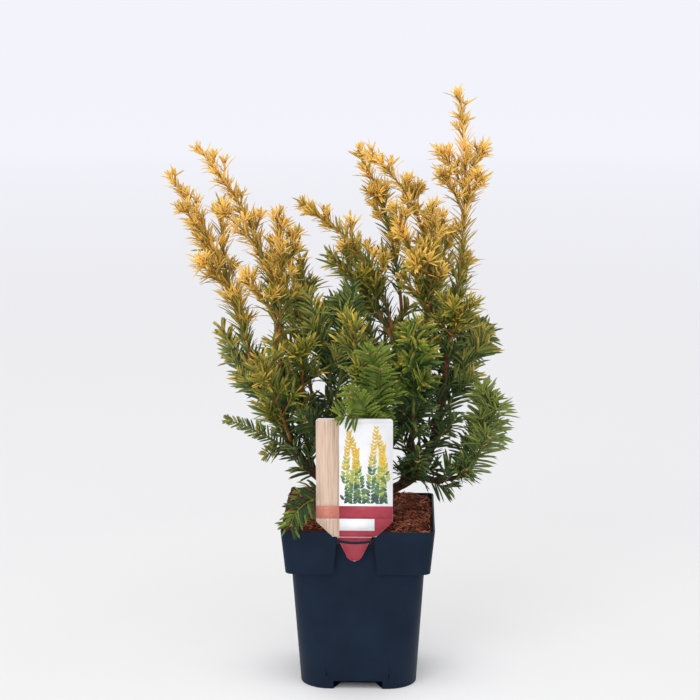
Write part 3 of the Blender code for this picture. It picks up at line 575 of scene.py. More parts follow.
def bowedPath(foot, tip, bow, count):
    # quadratic curve whose control point lies off the middle by the bow
    foot, tip, bow = np.array(foot), np.array(tip), np.array(bow)
    share = np.linspace(0.0, 1.0, count)[:, None]
    return (1 - share) ** 2 * foot + 2 * share * (1 - share) * ((foot + tip) / 2 + bow) + share**2 * tip


def pointAlong(path, share):
    # place and direction at a share of the path's points
    place = share * (len(path) - 1)
    row = min(int(place), len(path) - 2)
    step = path[row + 1] - path[row]
    return path[row] + step * (place - row), step / np.linalg.norm(step)


def squareTo(direction):
    # level and square to the direction, or square to it in depth where it runs upright
    side = np.cross(direction, up)
    if np.linalg.norm(side) < 0.15:
        side = np.cross(direction, (0.0, 1.0, 0.0))
    return unitRows(side)


def carriedFrames(path, first):
    # a bowed path lies in one plane, so the carried normal keeps its share square to that plane
    tangents = unitRows(np.gradient(path, axis=0))
    hinge = np.cross(tangents[0], tangents[-1])
    if np.linalg.norm(hinge) < 1e-5:
        hinge = squareTo(tangents[0])
    hinge = unitRows(hinge)
    inPlane = np.cross(hinge, tangents)
    start = unitRows(first - tangents[0] * (first @ tangents[0]))
    normals = unitRows((start @ hinge) * hinge + (start @ inPlane[0]) * inPlane)
    return tangents, normals, np.cross(tangents, normals)


def runAlong(path):
    # length of the path from its foot to each of its points
    return np.concatenate([[0], np.cumsum(np.linalg.norm(np.diff(path, axis=0), axis=1))])


def pathAt(path, run, wanted):
    # points at the wanted lengths along the path
    return np.stack([np.interp(wanted, run, path[:, axis]) for axis in range(3)], axis=1)


def resampled(path, gap, least=4):
    # the same curve with a point about every gap
    run = runAlong(path)
    return pathAt(path, run, np.linspace(0, run[-1], max(least, round(run[-1] / gap) + 1)))


def shortened(path, cut):
    # stops a shoot short of its reach by the tuft's share
    run = runAlong(path)
    return pathAt(path, run, np.linspace(0, max(run[-1] - cut, 0.6 * run[-1]), len(path)))


def pathLength(path):
    # sum of the steps from point to point
    return np.linalg.norm(np.diff(path, axis=0), axis=1).sum()


def sideTwigs(stem, count, longest, chance, first=growth["firstShare"], last=growth["lastShare"]):
    # by the golden angle: each leaves its stem at a set spread and then lifts towards the light
    twigs = []
    _, normals, across = carriedFrames(stem, squareTo(stem[1] - stem[0]))
    turn = chance.uniform(0, 2 * math.pi)
    turnSway, spreadSway = growth["turnSway"], growth["spreadSway"]
    for number in range(count):
        share = first + (last - first) * (number + 0.5) / count
        foot, forward = pointAlong(stem, share)
        row = min(int(share * (len(stem) - 1)), len(stem) - 2)
        turn += growth["goldenAngle"] + chance.uniform(-turnSway, turnSway)
        outward = math.cos(turn) * normals[row] + math.sin(turn) * across[row]
        spread = growth["spread"] + chance.uniform(-spreadSway, spreadSway)
        length = longest * (1.0 - growth["shorter"] * share) * chance.uniform(*growth["lengths"])
        heading = unitRows(math.cos(spread) * forward + math.sin(spread) * outward)
        tip = foot + length * unitRows(heading + growth["lift"] * up)
        twigs.append(bowedPath(foot, tip, growth["twigBow"] * length * (heading - up * 0.5), 12))
    return twigs


soilPlan = {
    "level": 0.1500,              # at the trunk
    "reach": 0.055,               # slope and heaps come in over this distance, from a share of it on
    "start": 0.30,
    "fall": 0.0062,               # from the trunk to the edge
    "span": 0.06,
    "toRight": -0.0030,           # rise over one span to the right, and to the back
    "toBack": 0.0005,
    "heaps": 0.0014,
    "corner": {"rise": 0.0016, "x": -0.048, "y": 0.045, "spread": 0.0008},
}


def soilLevel(x, y):
    # level under the trunk, up to the back left, down to the right, with small heaps
    plan, corner = soilPlan, soilPlan["corner"]
    reach = np.clip(np.hypot(x, y) / plan["reach"] - plan["start"], 0, 1)
    slope = plan["toRight"] * x / plan["span"] - plan["fall"] + plan["toBack"] * y / plan["span"]
    heaps = plan["heaps"] * np.sin(95 * x + 1.3) * np.cos(80 * y - 0.4)
    away = (x - corner["x"]) ** 2 + (y - corner["y"]) ** 2
    return plan["level"] + reach * (slope + heaps) + corner["rise"] * np.exp(-away / corner["spread"])


def overCard(x, z):
    # which points lie within the card's width and below its top
    inWidth = np.abs(x - labelPlan["middle"]) < labelPlan["half"] + clearance["card"]
    return inWidth & (z < labelPlan["top"] + clearance["card"])


def clearOfPot(points):
    # which points keep off the pot, the compost and the label card
    x, y, z = np.moveaxis(points, -1, 0)
    edge = np.maximum(np.abs(x), np.abs(y))
    rim = potPlan["rimHalf"]
    overSoil = z > soilLevel(x, y) + clearance["overSoil"]
    overRim = z > potPlan["height"] + clearance["overRim"]
    inside = np.where(edge > rim - clearance["rim"], overRim, overSoil)
    clear = np.where(edge > rim + clearance["wall"], z > clearance["lowest"], inside)
    return clear & ~(overCard(x, z) & (np.abs(y + labelPlan["front"]) < clearance["cardFace"]))


def crossesCard(starts, ends):
    # which rods pass through the card from one side to the other
    front = -labelPlan["front"]
    a, b = starts[:, 1] - front, ends[:, 1] - front
    share = np.clip(a / np.where(np.abs(a - b) < 1e-9, 1e-9, a - b), 0, 1)[:, None]
    x, _, z = (starts + (ends - starts) * share).T
    return (a * b < 0) & overCard(x, z)


class Shoot:
    # one twig of the crown with what its needles need to know

    def __init__(self, path, radius, needle, tint, comb, bare, order,
                 upper=None, mass="", cut=growth["tipCut"]):
        self.path = shortened(path, cut)
        self.stand = needleStand.get(mass, needleStand[tint])
        self.neat = mass in neatCombs
        self.radius = radius
        self.needle = needle
        self.tint = tint
        self.comb = comb          # needles in two ranks, not all round
        self.bare = bare          # length at the foot that carries no needles
        self.order = order        # 0 for a stem, 1 for a twig, 2 for the smallest, 3 for a limb
        along = path[1] - path[0]
        self.upper = np.cross(squareTo(along), along) if upper is None else upper


def roomAlong(path):
    # the path as far as it keeps clear
    good = clearOfPot(path)
    good[0] = True
    if not good.all():
        path = path[: int(np.argmin(good))]
    return path


def growMass(owner, name, row, limbPaths):
    # the source's stem, forks and side twigs with the same draws, then the finer twigs between them
    parent, share, tip, bow, count, longest, needle, tint, forks = row
    chance = random.Random(growth["seed"] + owner)
    fill = random.Random(growth["fillSeed"] + owner)
    tint = otherTint.get(name, tint)
    golden, flat = tint == "gold", tint in growth["shadeTints"]
    upper = frontUpper if name in frontCombs else None
    needle *= needleScale.get(name, needleScale[tint])
    filled = fillShare.get(name, 1.0)
    thin = growth["twigRadius"]
    shoots = []

    def grow(path, radius, needleShare, comb, bare, order, cut=growth["tipCut"]):
        # needleShare: how long its needles are beside the mass's longest
        shoots.append(Shoot(path, radius, needle * needleShare, tint, comb, bare, order, upper, name, cut))

    foot, _ = pointAlong(limbPaths[parent], share)
    stem = resampled(bowedPath(foot, tip, bow, 24), growth["stemGap"])
    cut = leaderCut.get(name, growth["tipCut"])
    grow(stem, growth["stemRadius"], 1.0, flat, bareFoot.get(name, 0.012), 0, cut)
    for forkShare, forkTip in forks:
        forkFoot, forward = pointAlong(stem, forkShare)
        reach = np.linalg.norm(np.array(forkTip) - forkFoot)
        fork = resampled(bowedPath(forkFoot, forkTip, 0.12 * reach * forward, 16), growth["stemGap"])
        grow(fork, thin * 1.3, 0.95, flat, 0.006, 1)
    twigs = sideTwigs(stem, count, longest, chance)
    for leader in list(shoots):
        number = round(growth["fillTwigs"] * filled * (count if leader.order == 0 else growth["forkTwigs"]))
        twigs += sideTwigs(leader.path, number, longest * growth["fillLength"], fill, *growth["fillShares"])
        if golden:
            crest = sideTwigs(
                leader.path, growth["crestTwigs"], growth["crestLength"], fill, *growth["crestShares"])
            for twiglet in crest:
                grow(resampled(twiglet, 0.002), thin * 0.7, 0.90, False, 0.001, 2, growth["crestCut"])
    for twig in twigs:
        room = roomAlong(twig)
        if len(room) < 5:
            continue
        room = resampled(room, growth["twigGap"])
        grow(room, thin, 0.97, flat, 0.003, 1)
        number = int(pathLength(room) / growth["twigletGap"]) - 1
        if number > 0 and fill.random() < filled * (1.0 if golden else growth["twigletChance"]):
            for twiglet in sideTwigs(room, number, growth["twigletLength"], fill, *growth["twigletShares"]):
                twiglet = roomAlong(twiglet)
                if len(twiglet) > 6:
                    grow(resampled(twiglet, growth["twigGap"]), thin * 0.75, 0.92, flat, 0.002, 2)
    return shoots


def needleReach(length, share):
    # short at the foot of a twig, longest at a third of it, short again at its growing tip
    turn = np.minimum(1.0, 0.12 + 0.55 * share + 0.45 * share**3)
    return length * (0.62 + 0.38 * np.sin(math.pi * turn))


def shootNeedles(shoot, dice):
    # roots, headings, upper sides, lengths and shares of all the needles on one shoot
    length = pathLength(shoot.path)
    if shoot.comb:
        gap = needleSettings["gapComb"]
    else:
        gap = needleSettings["gapRadial"] * needleSettings["gapOnTwig" if shoot.order else "gapOnStem"]
    count = max(0, int((length - shoot.bare) / gap))
    tuft = growth["tuft"] if shoot.order < 2 else growth["smallTuft"]
    share = (shoot.bare + (np.arange(count) + dice.uniform(0.1, 0.9, count)) * gap) / length
    share = np.concatenate([share, np.full(tuft, 0.99)]).clip(0, 0.99)
    count = len(share)
    tangents, normals, across = carriedFrames(shoot.path, shoot.upper)
    place = share * (len(shoot.path) - 1)
    row = place.astype(int)
    blend = (place - row)[:, None]
    root = shoot.path[row] * (1 - blend) + shoot.path[row + 1] * blend
    tangent, normal, side = tangents[row], normals[row], across[row]
    if shoot.comb:
        rank = np.where(np.arange(count) % 2 == 0, 1.0, -1.0)
        turn = np.radians(dice.normal(14, 8 if shoot.neat else 16, count))
        outward = np.cos(turn)[:, None] * rank[:, None] * side + np.sin(turn)[:, None] * normal
        facing = normal + 0.35 * tangent
    else:
        turn = np.arange(count) * growth["goldenAngle"] + dice.normal(0, 0.2, count)
        outward = np.cos(turn)[:, None] * normal + np.sin(turn)[:, None] * side
        facing = tangent + 0.25 * up
    lean, swing, sink = shoot.stand
    lean = np.radians(dice.normal(lean, 5, count)) * (1.18 - 0.36 * share)
    lean[-tuft:] *= dice.uniform(0.4, 2.2 if shoot.tint == "gold" else 1.5, tuft)
    heading = np.sin(lean)[:, None] * outward + np.cos(lean)[:, None] * tangent
    heading = unitRows(heading + dice.normal(0, 0.03, (count, 3)))
    facing = facing + dice.normal(0, 0.12 if shoot.neat else 0.22, (count, 3))
    facing = unitRows(facing - heading * (facing * heading).sum(axis=1, keepdims=True))
    swung = outward if swing > 0 else tangent     # a negative swing draws the ends back to the shoot's foot
    bend = (swing * swung - sink * up) * dice.uniform(0.4, 2.2, count)[:, None]
    reach = needleReach(shoot.needle, share) * dice.uniform(0.84, 1.10, count)
    if shoot.tint == "gold":                      # up to a quarter longer low down
        reach *= 1 + 0.25 * np.clip((0.405 - root[:, 2]) / 0.08, 0, 1)
    reach = reach / np.linalg.norm(heading + bend, axis=1)
    root = root + heading * shoot.radius * 0.3
    return root, heading, facing, reach, bend, share


# Needle colours from sun to shade: blade, margin and underside of each
needleColours = {
    "gold": ((242, 197, 92), (248, 208, 110), (242, 202, 108)),
    "amber": ((200, 165, 62), (216, 180, 76), (202, 173, 78)),
    "olive": ((132, 134, 48), (164, 160, 62), (144, 144, 66)),
    "green": ((80, 106, 38), (108, 126, 48), (104, 120, 58)),
    "dark": ((37, 60, 27), (52, 76, 32), (62, 84, 44)),
    "fresh": ((100, 122, 42), (136, 146, 58), (126, 138, 64)),
}

sunByTint = {"gold": 0.56, "olive": 0.38, "fresh": 0.32, "green": 0.31, "dark": 0.18}

sunSettings = {
    "level": {True: 0.400, False: 0.365},     # height without gain or loss, for golden shoots and others
    "gain": {True: 0.30, False: 0.19},        # sun gained over one span above that level
    "span": 0.13,
    "left": (0.045, 0.03, 0.13),              # where it starts, how far it takes to be full, and sun gained
    "right": (0.070, 0.03, 0.09),
    "low": (0.275, 0.05, 0.05),               # and sun lost below
    "tips": (0.34, 0.62),                     # gain along a shoot, from this share of it on
    "most": (0.43, 0.10, 0.33, 0.06),         # greener shoots get no more, but a little more above the third
}

# Sun at which dark turns green, olive, amber and gold
sunLevels = np.array((0.18, 0.34, 0.50, 0.66))
endSun = 0.15                 # a needle's end may have had this much more
dullShare = 0.22              # share of the fresh needles that are plain green
budEvery = 14                 # needles for each side bud


def needleSun(shoot, share, tip, dice):
    # how much sun each needle has had: more at the tips of high shoots, on the left and far right
    golden = shoot.tint == "gold"
    x, z = tip[:, 0], tip[:, 2]
    settings = sunSettings
    height = np.clip((z - settings["level"][golden]) / settings["span"], -1.0, 1.0)
    start, width, leftGain = settings["left"]
    left = np.clip((-start - x) / width, 0.0, 1.0)
    start, width, rightGain = settings["right"]
    right = np.clip((x - start) / width, 0.0, 1.0)
    start, width, lowLoss = settings["low"]
    low = np.clip((start - z) / width, 0.0, 1.0)
    tipGain, tipStart = settings["tips"]
    sun = sunByTint[shoot.tint] + settings["gain"][golden] * height + leftGain * left + dice.normal(0, 0.04)
    sun = sun + tipGain * (share - tipStart) - lowLoss * low + rightGain * right
    sun = sun + dice.normal(0, 0.08, len(share))
    if not golden:
        most, more, start, width = settings["most"]
        limit = most + more * np.clip((z - start) / width, 0, 2)
        sun = np.minimum(sun, limit + dice.normal(0, 0.03, len(sun)))
    return sun


def needleShapes(root, heading, facing, reach, bend, palette, tipPalette):
    # flat blade with a raised rib: rings of six points at four stations, then a point
    count = len(root)
    across = np.cross(heading, facing)
    station = np.array(needleSettings["stations"])
    width = np.array(needleSettings["widths"]) * needleSettings["halfWidth"]
    ringX = np.array((-1.0, -0.60, 0.0, 0.60, 1.0, 0.0))
    ringY = np.array((-0.15, 0.35, 0.75, 0.35, -0.15, -0.55))
    centre = root[:, None] + (reach[:, None] * station)[..., None] * heading[:, None] \
        + (reach[:, None] * station**2)[..., None] * bend[:, None]
    wide = np.clip(reach / needleSettings["usualLength"], *needleSettings["slimness"])[:, None, None, None]
    ring = centre[:, :, None] + wide * width[None, :, None, None] * ringX[:, None] * across[:, None, None] \
        + needleSettings["thickness"] * ringY[:, None] * facing[:, None, None]
    tip = root + reach[:, None] * (heading + bend)
    points = np.concatenate([ring.reshape(count, -1, 3), tip[:, None]], axis=1)
    rings, around = len(station), len(ringX)
    column = np.arange(around)
    tips = fanFaces((rings - 1) * around + column, rings * around)
    part = np.array((1, 0, 0, 1, 2, 2))           # margin, blade, blade, margin, underside twice
    tipPart = np.array((1, 1, 1, 1, 2, 2))
    size = points.shape[1]
    base = palette[:, None] * 3
    ends = tipPalette[:, None] * 3
    sides = np.concatenate([base + np.tile(part, rings - 2), ends + part], axis=1)
    return points, [
        (copiedFaces(gridFaces(rings, around, wrap=True), count, size), sides.ravel()),
        (copiedFaces(tips, count, size), (ends + tipPart).ravel()),
        (copiedFaces(column[None, ::-1], count, size), (base + 2).ravel()),
    ]


def tubeShape(path, radii, sides, slot, relief=None):
    # rings of points round a path, closed by a cap at each end
    _, normals, across = carriedFrames(path, squareTo(path[1] - path[0]))
    angle = np.arange(sides) * 2 * math.pi / sides
    radius = np.broadcast_to(np.asarray(radii)[:, None], (len(path), sides))
    if relief is not None:
        radius = radius * (1 + relief)
    points = path[:, None] + radius[..., None] * (np.cos(angle)[:, None] * normals[:, None]
                                                  + np.sin(angle)[:, None] * across[:, None])
    return points.reshape(-1, 3), cappedFaces(len(path), sides, slot)


def budShapes(places, headings, sizes, slot):
    # an egg of three rings of six points with a point at each end
    count, around = len(places), 6
    side = unitRows(np.cross(headings, np.where(np.abs(headings[:, 2:]) < 0.9, up, (1.0, 0.0, 0.0))))
    other = np.cross(headings, side)
    along = np.array((-0.1, 0.5, 1.0))
    wide = np.array((0.42, 0.50, 0.30))
    angle = np.arange(around) * 2 * math.pi / around
    circle = np.cos(angle)[:, None] * side[:, None] + np.sin(angle)[:, None] * other[:, None]
    ring = places[:, None, None] + sizes[:, None, None, None] * (
        along[:, None, None] * headings[:, None, None] + wide[:, None, None] * circle[:, None])
    foot = places - 0.45 * sizes[:, None] * headings
    tip = places + 1.45 * sizes[:, None] * headings
    points = np.concatenate([ring.reshape(count, -1, 3), foot[:, None], tip[:, None]], axis=1)
    rings, size, column = len(along), points.shape[1], np.arange(around)
    low = fanFaces(column, size - 2, inward=True)
    high = fanFaces((rings - 1) * around + column, size - 1)
    return points, [
        (copiedFaces(gridFaces(rings, around, wrap=True), count, size), slot),
        (copiedFaces(np.concatenate([low, high]), count, size), slot),
    ]


trunkPlan = {
    "foot": (0.0040, 0.0050, 0.1503),
    "tip": (0.0045, 0.0050, 0.1800),
    "shares": (0.0, 0.12, 0.35, 0.75, 1.0),
    "radii": (0.0125, 0.0100, 0.0084, 0.0076, 0.0060),
    "sides": 40,
    "gap": 0.0007,
    "relief": 0.045,              # depth of the bark as a share of the radius
}

boughPlan = {
    "sides": 20,
    "gap": 0.0013,
    "boughRelief": 0.055,
    "limbRelief": 0.035,
    "swell": 0.0012,              # added to the radius at the foot, and the length over which it fades
    "swellFade": 0.006,
    # painted shade in part: bark stays darker low in the crown, and higher up on the right limbs than on the
    # left
    "leftLevels": (0.235, 0.275),  # where old bark turns brown, and brown turns orange
    "levels": (0.250, 0.310),
}


def makeLimbPaths():
    # the trunk's straight path, then each limb's bowed one from its parent
    foot, tip = np.array(trunkPlan["foot"]), np.array(trunkPlan["tip"])
    paths = {"trunk": foot + (tip - foot) * np.array(trunkPlan["shares"])[:, None]}
    for name, (parent, share, tip, bow, _, _) in limbPlan.items():
        start, _ = pointAlong(paths[parent], share)
        paths[name] = bowedPath(start, tip, bow, 6)
    return paths


def barkRelief(path, sides, depth, phase):
    # shallow plates: ridges that wander along the limb, crossed by finer ones
    run = runAlong(path)[:, None]
    angle = np.arange(sides)[None] * 2 * math.pi / sides
    wander = 1.1 * np.sin(170 * run + phase)
    broad = np.sin(3 * angle + wander + phase) * 0.5
    plates = np.sin(7 * angle - 90 * run + 2 * wander) * np.sin(260 * run + 2 * angle + phase)
    knots = np.clip(np.sin(410 * run + 3 * angle + phase), 0.55, 1) - 0.55
    return depth * (broad + plates + 1.2 * knots)


def barkByHeight(path, sides, levels):
    # the finish of each face of a limb: dark bark low down, partly old bark and partly painted shade under
    # the crown, riper and more orange above each level
    return np.repeat(np.searchsorted(levels, (path[:-1, 2] + path[1:, 2]) / 2), sides)


def makeBoughs(limbPaths, finishes):
    # each limb as a fine tube with the bark's relief; its foot swells where it leaves its parent
    trunk, boughs, plan = Pile(), Pile(), boughPlan
    path = resampled(limbPaths["trunk"], trunkPlan["gap"])
    radii = np.interp(np.linspace(0, 1, len(path)), trunkPlan["shares"], trunkPlan["radii"])
    relief = barkRelief(path, trunkPlan["sides"], trunkPlan["relief"], 0.7)
    trunk.add(*tubeShape(path, radii, trunkPlan["sides"], 0, relief))
    sides = plan["sides"]
    for number, (name, (_, _, tip, bow, footRadius, tipRadius)) in enumerate(limbPlan.items()):
        path = resampled(bowedPath(limbPaths[name][0], tip, bow, 120), plan["gap"])
        run = np.linspace(0, pathLength(path), len(path))
        swell = plan["swell"] * np.exp(-run / plan["swellFade"])
        radii = np.linspace(footRadius, tipRadius, len(path)) + swell
        depth = plan["boughRelief" if name.startswith("bough") else "limbRelief"]
        relief = barkRelief(path, sides, depth, number)
        # the darker bark low down is partly age and partly painted shade
        agesAndShade = barkByHeight(path, sides, plan["leftLevels" if "left" in name else "levels"])
        boughs.add(*tubeShape(path, radii, sides, agesAndShade, relief))
    keep(makePiece("trunk_bark", trunk, finishes), "bark", "trunk")
    keep(makePiece("bough_bark", boughs, finishes), "bark", *limbPlan)


def growCrown(limbPaths):
    # every shoot of every crown piece, from the masses and from the limbs between them
    crown = {piece: [] for piece in crownPieces}
    owners = {name: next(piece for piece, starts in crownPieces.items() if name.startswith(starts))
              for name in [*massPlan, *limbPlan]}
    for owner, (name, row) in enumerate(massPlan.items()):
        crown[owners[name]] += growMass(owner, name, row, limbPaths)
    thin = growth["twigRadius"]
    for number, name in enumerate(limbPlan):
        chance = random.Random(growth["fillSeed"] + 100 + number)
        path = resampled(bowedPath(limbPaths[name][0], *limbPlan[name][2:4], 60), growth["twigGap"])
        count = int(pathLength(path) / growth["limbTwigGap"])
        old = name.startswith("bough")
        tint = "olive" if name.startswith(("limb_left", "limb_centre")) else "dark"
        first = growth["limbFade" if old else "limbFirst"]
        young = path[int(growth["limbFade"] * len(path)):] if old else path
        shoots = crown[owners[name]]
        shoots.append(Shoot(young, thin * 2, growth["limbNeedle"], tint, False, 0.004, 3))
        for twig in sideTwigs(path, count, growth["limbTwigLength"], chance, first, growth["limbLast"]):
            room = roomAlong(twig)
            if len(room) > 5:
                shoots.append(Shoot(resampled(room, growth["twigGap"]), thin, 0.020, tint, True, 0.003, 1))
    return crown


def makeCrown(crown, finishes):
    # needles, twigs and buds of each crown piece; needles that would touch the pot or the card are dropped
    names = list(needleColours)
    fresh, green, dark = (names.index(name) for name in ("fresh", "green", "dark"))
    dice = np.random.default_rng(needleSettings["seed"])
    total = 0
    for piece, shoots in crown.items():
        needles, twigs, buds = Pile(), Pile(), Pile()
        for shoot in shoots:
            sunny = shoot.tint in ("gold", "olive")
            stem = shoot.order == 0
            if shoot.order < 3:
                radii = np.linspace(shoot.radius, growth["tipRadius"], len(shoot.path))
                slot = (0 if stem else 1) if sunny else 2
                twigs.add(*tubeShape(shoot.path, radii, 7 if stem else 5, slot))
            root, heading, facing, reach, bend, share = shootNeedles(shoot, dice)
            tip = root + reach[:, None] * (heading + bend)
            middle = root + 0.5 * reach[:, None] * heading
            good = clearOfPot(tip) & clearOfPot(middle) & ~crossesCard(root, tip)
            if not good.any():
                continue
            sun = needleSun(shoot, share, tip, dice)
            palette = dark - np.searchsorted(sunLevels, sun)
            ends = dark - np.searchsorted(sunLevels, sun + dice.uniform(0.0, endSun, len(sun)))
            if shoot.tint == "fresh":
                dull = dice.random(len(sun)) < dullShare
                palette = np.where((palette == dark) | dull, green, fresh)
                ends = np.where(ends == dark, green, fresh)
            pick = [values[good] for values in (root, heading, facing, reach, bend, palette, ends)]
            total += int(good.sum())
            needles.add(*needleShapes(*pick))
            # three buds at the shoot's end, and one beside every few needles
            tangent = unitRows(shoot.path[-1] - shoot.path[-2])
            end = shoot.path[-1:]
            spots = np.concatenate([end, end, end, root[9::budEvery]])
            ways = np.concatenate([tangent[None], heading[-2:], heading[9::budEvery]])
            ways = unitRows(ways + dice.normal(0, 0.25, ways.shape))
            spots[1:3] += 0.0012 * ways[1:3]
            sizes = dice.uniform(0.0010, 0.0018, len(spots))
            buds.add(*budShapes(spots, ways, sizes, 0 if sunny else 1))
        nodes = [name for name in massPlan if name.startswith(crownPieces[piece])]
        keep(makePiece(f"needles_{piece}", needles, finishes["needles"]), "foliage", *nodes)
        keep(makePiece(f"twigs_{piece}", twigs, finishes["twigs"]), "bark")
        keep(makePiece(f"buds_{piece}", buds, finishes["buds"]), "foliage")
    print("needles:", total)


def crownFinishes():
    # blade, margin and underside of each needle colour, then the twigs and the buds
    needles = []
    for name, (blade, margin, under) in needleColours.items():
        for part, colour in (("blade", blade), ("margin", margin), ("underside", under)):
            tone = np.array(linear(*colour))
            needles.append(mottledFinish(f"{name} {part}", tone * 0.80, tone * 1.16, 0.46, 55, 0.24))
    twigs = [
        mottledFinish("ripening stem", linear(132, 84, 42), linear(176, 122, 60), 0.6, 160, 0.35),
        mottledFinish("golden twig", linear(150, 104, 44), linear(186, 140, 62), 0.55, 160, 0.35),
        mottledFinish("green twig", linear(70, 84, 34), linear(104, 106, 46), 0.55, 160, 0.3),
    ]
    buds = [
        mottledFinish("russet bud", linear(140, 78, 50), linear(188, 118, 80), 0.6, 300, 0.3),
        mottledFinish("tan bud", linear(150, 112, 66), linear(196, 156, 98), 0.6, 300, 0.3),
    ]
    return {"needles": needles, "twigs": twigs, "buds": buds}


def barkFinishes():
    # by age, with painted shade in the darker ones: dark and scaly, then brown, then smooth and orange
    old = mottledFinish("old bark", linear(44, 28, 24), linear(84, 54, 42), 0.85, 190, 0.2, 0.25)
    middle = mottledFinish("brown bark", linear(66, 42, 28), linear(112, 72, 42), 0.80, 180, 0.2, 0.2)
    young = mottledFinish("orange bark", linear(110, 66, 32), linear(168, 108, 54), 0.70, 170, 0.25, 0.15)
    return [old, middle, young]


def makeStage(settings):
    # a level floor, wide enough to fill the view, with its tone set by the distance from the pot as painted
    # light: brighter close to the pot to lift its shadow, and brighter and bluer far off
    side = np.array((-1.0, 1.0)) * settings["half"]
    points = np.stack(np.broadcast_arrays(side[None], side[:, None], 0.0), axis=-1)
    pile = Pile()
    pile.add(points, [(gridFaces(2, 2), 0)])
    paper, tree, shader = newFinish("pale floor", 0.9, 0.0)
    away = tree.nodes.new("ShaderNodeVectorMath")
    away.operation = "LENGTH"
    tree.links.new(placed(tree), away.inputs[0])
    reach = tree.nodes.new("ShaderNodeMapRange")
    reach.inputs["From Max"].default_value = settings["end"]
    tree.links.new(away.outputs["Value"], reach.inputs["Value"])
    # painted light: the ramp lifts the pot's shadow near it and brightens the far floor
    tone = ramp(tree, reach.outputs["Result"],
                [(distance / settings["end"], tone) for distance, tone in settings["tones"]])
    tree.links.new(tone, shader.inputs["Base Color"])
    makePiece("floor", pile, [paper])


# Pot: one moulded shell, a square tub with a wide collar that is open at the label slot

potPlan = {
    "height": 0.1435,
    "collarFoot": 0.1055,
    "rimHalf": 0.0650,
    "collarFootHalf": 0.0613,
    "tubTopHalf": 0.0563,
    "tubFootHalf": 0.0499,
    "corners": {"rim": 0.0050, "collar": 0.0065, "tubTop": 0.0110, "tubFoot": 0.0260},
    "wall": 0.0015,
    "floorTop": 0.0090,
    "slotMiddle": -0.0020,
    "slotTopHalf": 0.0148,
    "slotFootHalf": 0.0186,
    "flapRound": 0.0030,          # radius of the flaps' lower corners
    "notchHalf": 0.0210,
    "notchHeight": 0.0070,
    "padHalf": 0.0345,
    "slotZone": 0.0270,           # half width of the front wall's middle part, which holds the slot
    "edgeRound": 0.00045,
    "edgeAngle": math.radians(40),
    "cornerSteps": 12,
    "wallSteps": 8,
    "tubLevels": np.linspace(0.012, 0.1055, 9),
    "flapLevels": (0.0, 0.0003, 0.0008, 0.0015, 0.0023, 0.0030),
    "collarLevels": np.linspace(0.1150, 0.1435, 5),
    "shelf": 0.0016,              # the collar's inner step above its foot
    "insideCollar": (0.130, 0.120),
    "insideTub": 0.060,
    "underSlot": 0.9,             # the slot's width at the tub's foot, as a share of that at the flaps
    "floorFoot": 0.0012,
    "noPanel": 1.0,               # a panel further out than the wall is no panel
}

strapPlan = {
    "level": 0.1370,
    "sag": 0.0022,
    "reach": 0.0170,
    "front": 0.0669,
    "turnIn": 0.0034,             # how far the ends go back into the flaps
    "deep": 0.0011,
    "high": 0.0020,
}


def potFinish():
    # satin anthracite plastic, a little duller where it was handled
    plan = {"dark": linear(12, 27, 45), "light": linear(17, 33, 52), "cloudScale": 30, "grainScale": 1600}
    finish, tree, shader = newFinish("anthracite plastic", 0.46, 0.13)
    soft = cloud(tree, placed(tree), plan["cloudScale"])
    tone = ramp(tree, soft, ((0.35, plan["dark"]), (0.65, plan["light"])))
    tree.links.new(tone, shader.inputs["Base Color"])
    dull = tree.nodes.new("ShaderNodeMapRange")
    dull.inputs["To Min"].default_value = 0.40
    dull.inputs["To Max"].default_value = 0.56
    tree.links.new(cloud(tree, placed(tree, (1, 1, 0.4)), 70, 5), dull.inputs["Value"])
    tree.links.new(dull.outputs["Result"], shader.inputs["Roughness"])
    bumped(tree, shader, cloud(tree, placed(tree), plan["grainScale"], 1.0), 0.00004, 0.6)
    return finish


def potRing(half, corner, height, slotHalf, panel, notched):
    # one level of the shell from above, anticlockwise from the slot's right edge. Steps lead into the slot
    # and into the drain notch under each wall; where a step has no depth its points meet and merge later
    middle, steps = potPlan["slotMiddle"], potPlan["wallSteps"]
    notch = potPlan["notchHalf"] if height <= potPlan["notchHeight"] else potPlan["slotZone"]
    depth = potPlan["padHalf"] if notched else half
    left, right = middle - slotHalf, middle + slotHalf
    arc = np.linspace(-math.pi / 2, 0, potPlan["cornerSteps"])
    bend = np.stack([half - corner + corner * np.cos(arc), -half + corner + corner * np.sin(arc)], axis=1)
    run = np.column_stack([np.linspace(-notch, notch, steps), np.full(steps, -depth)])
    slot = np.column_stack([np.linspace(left, right, steps), np.full(steps, -min(panel, depth))])
    wall = np.concatenate([[(-notch, -half)], run, [(notch, -half)], bend])
    flat = np.concatenate([
        [(right, -depth), (notch, -depth), (notch, -half)], bend,
        *(wall @ quarterTurn(quarter) for quarter in (1, 2, 3)),
        [(-notch, -half), (-notch, -depth), (left, -depth)], slot])
    return np.column_stack([flat, np.full(len(flat), height)])


def tubSize(z):
    # half width and corner radius of the tub, both changing evenly from foot to collar
    plan, corners = potPlan, potPlan["corners"]
    slope = (plan["tubTopHalf"] - plan["tubFootHalf"]) / plan["collarFoot"]
    corner = corners["tubFoot"] + (corners["tubTop"] - corners["tubFoot"]) * z / plan["collarFoot"]
    return plan["tubFootHalf"] + slope * z, corner


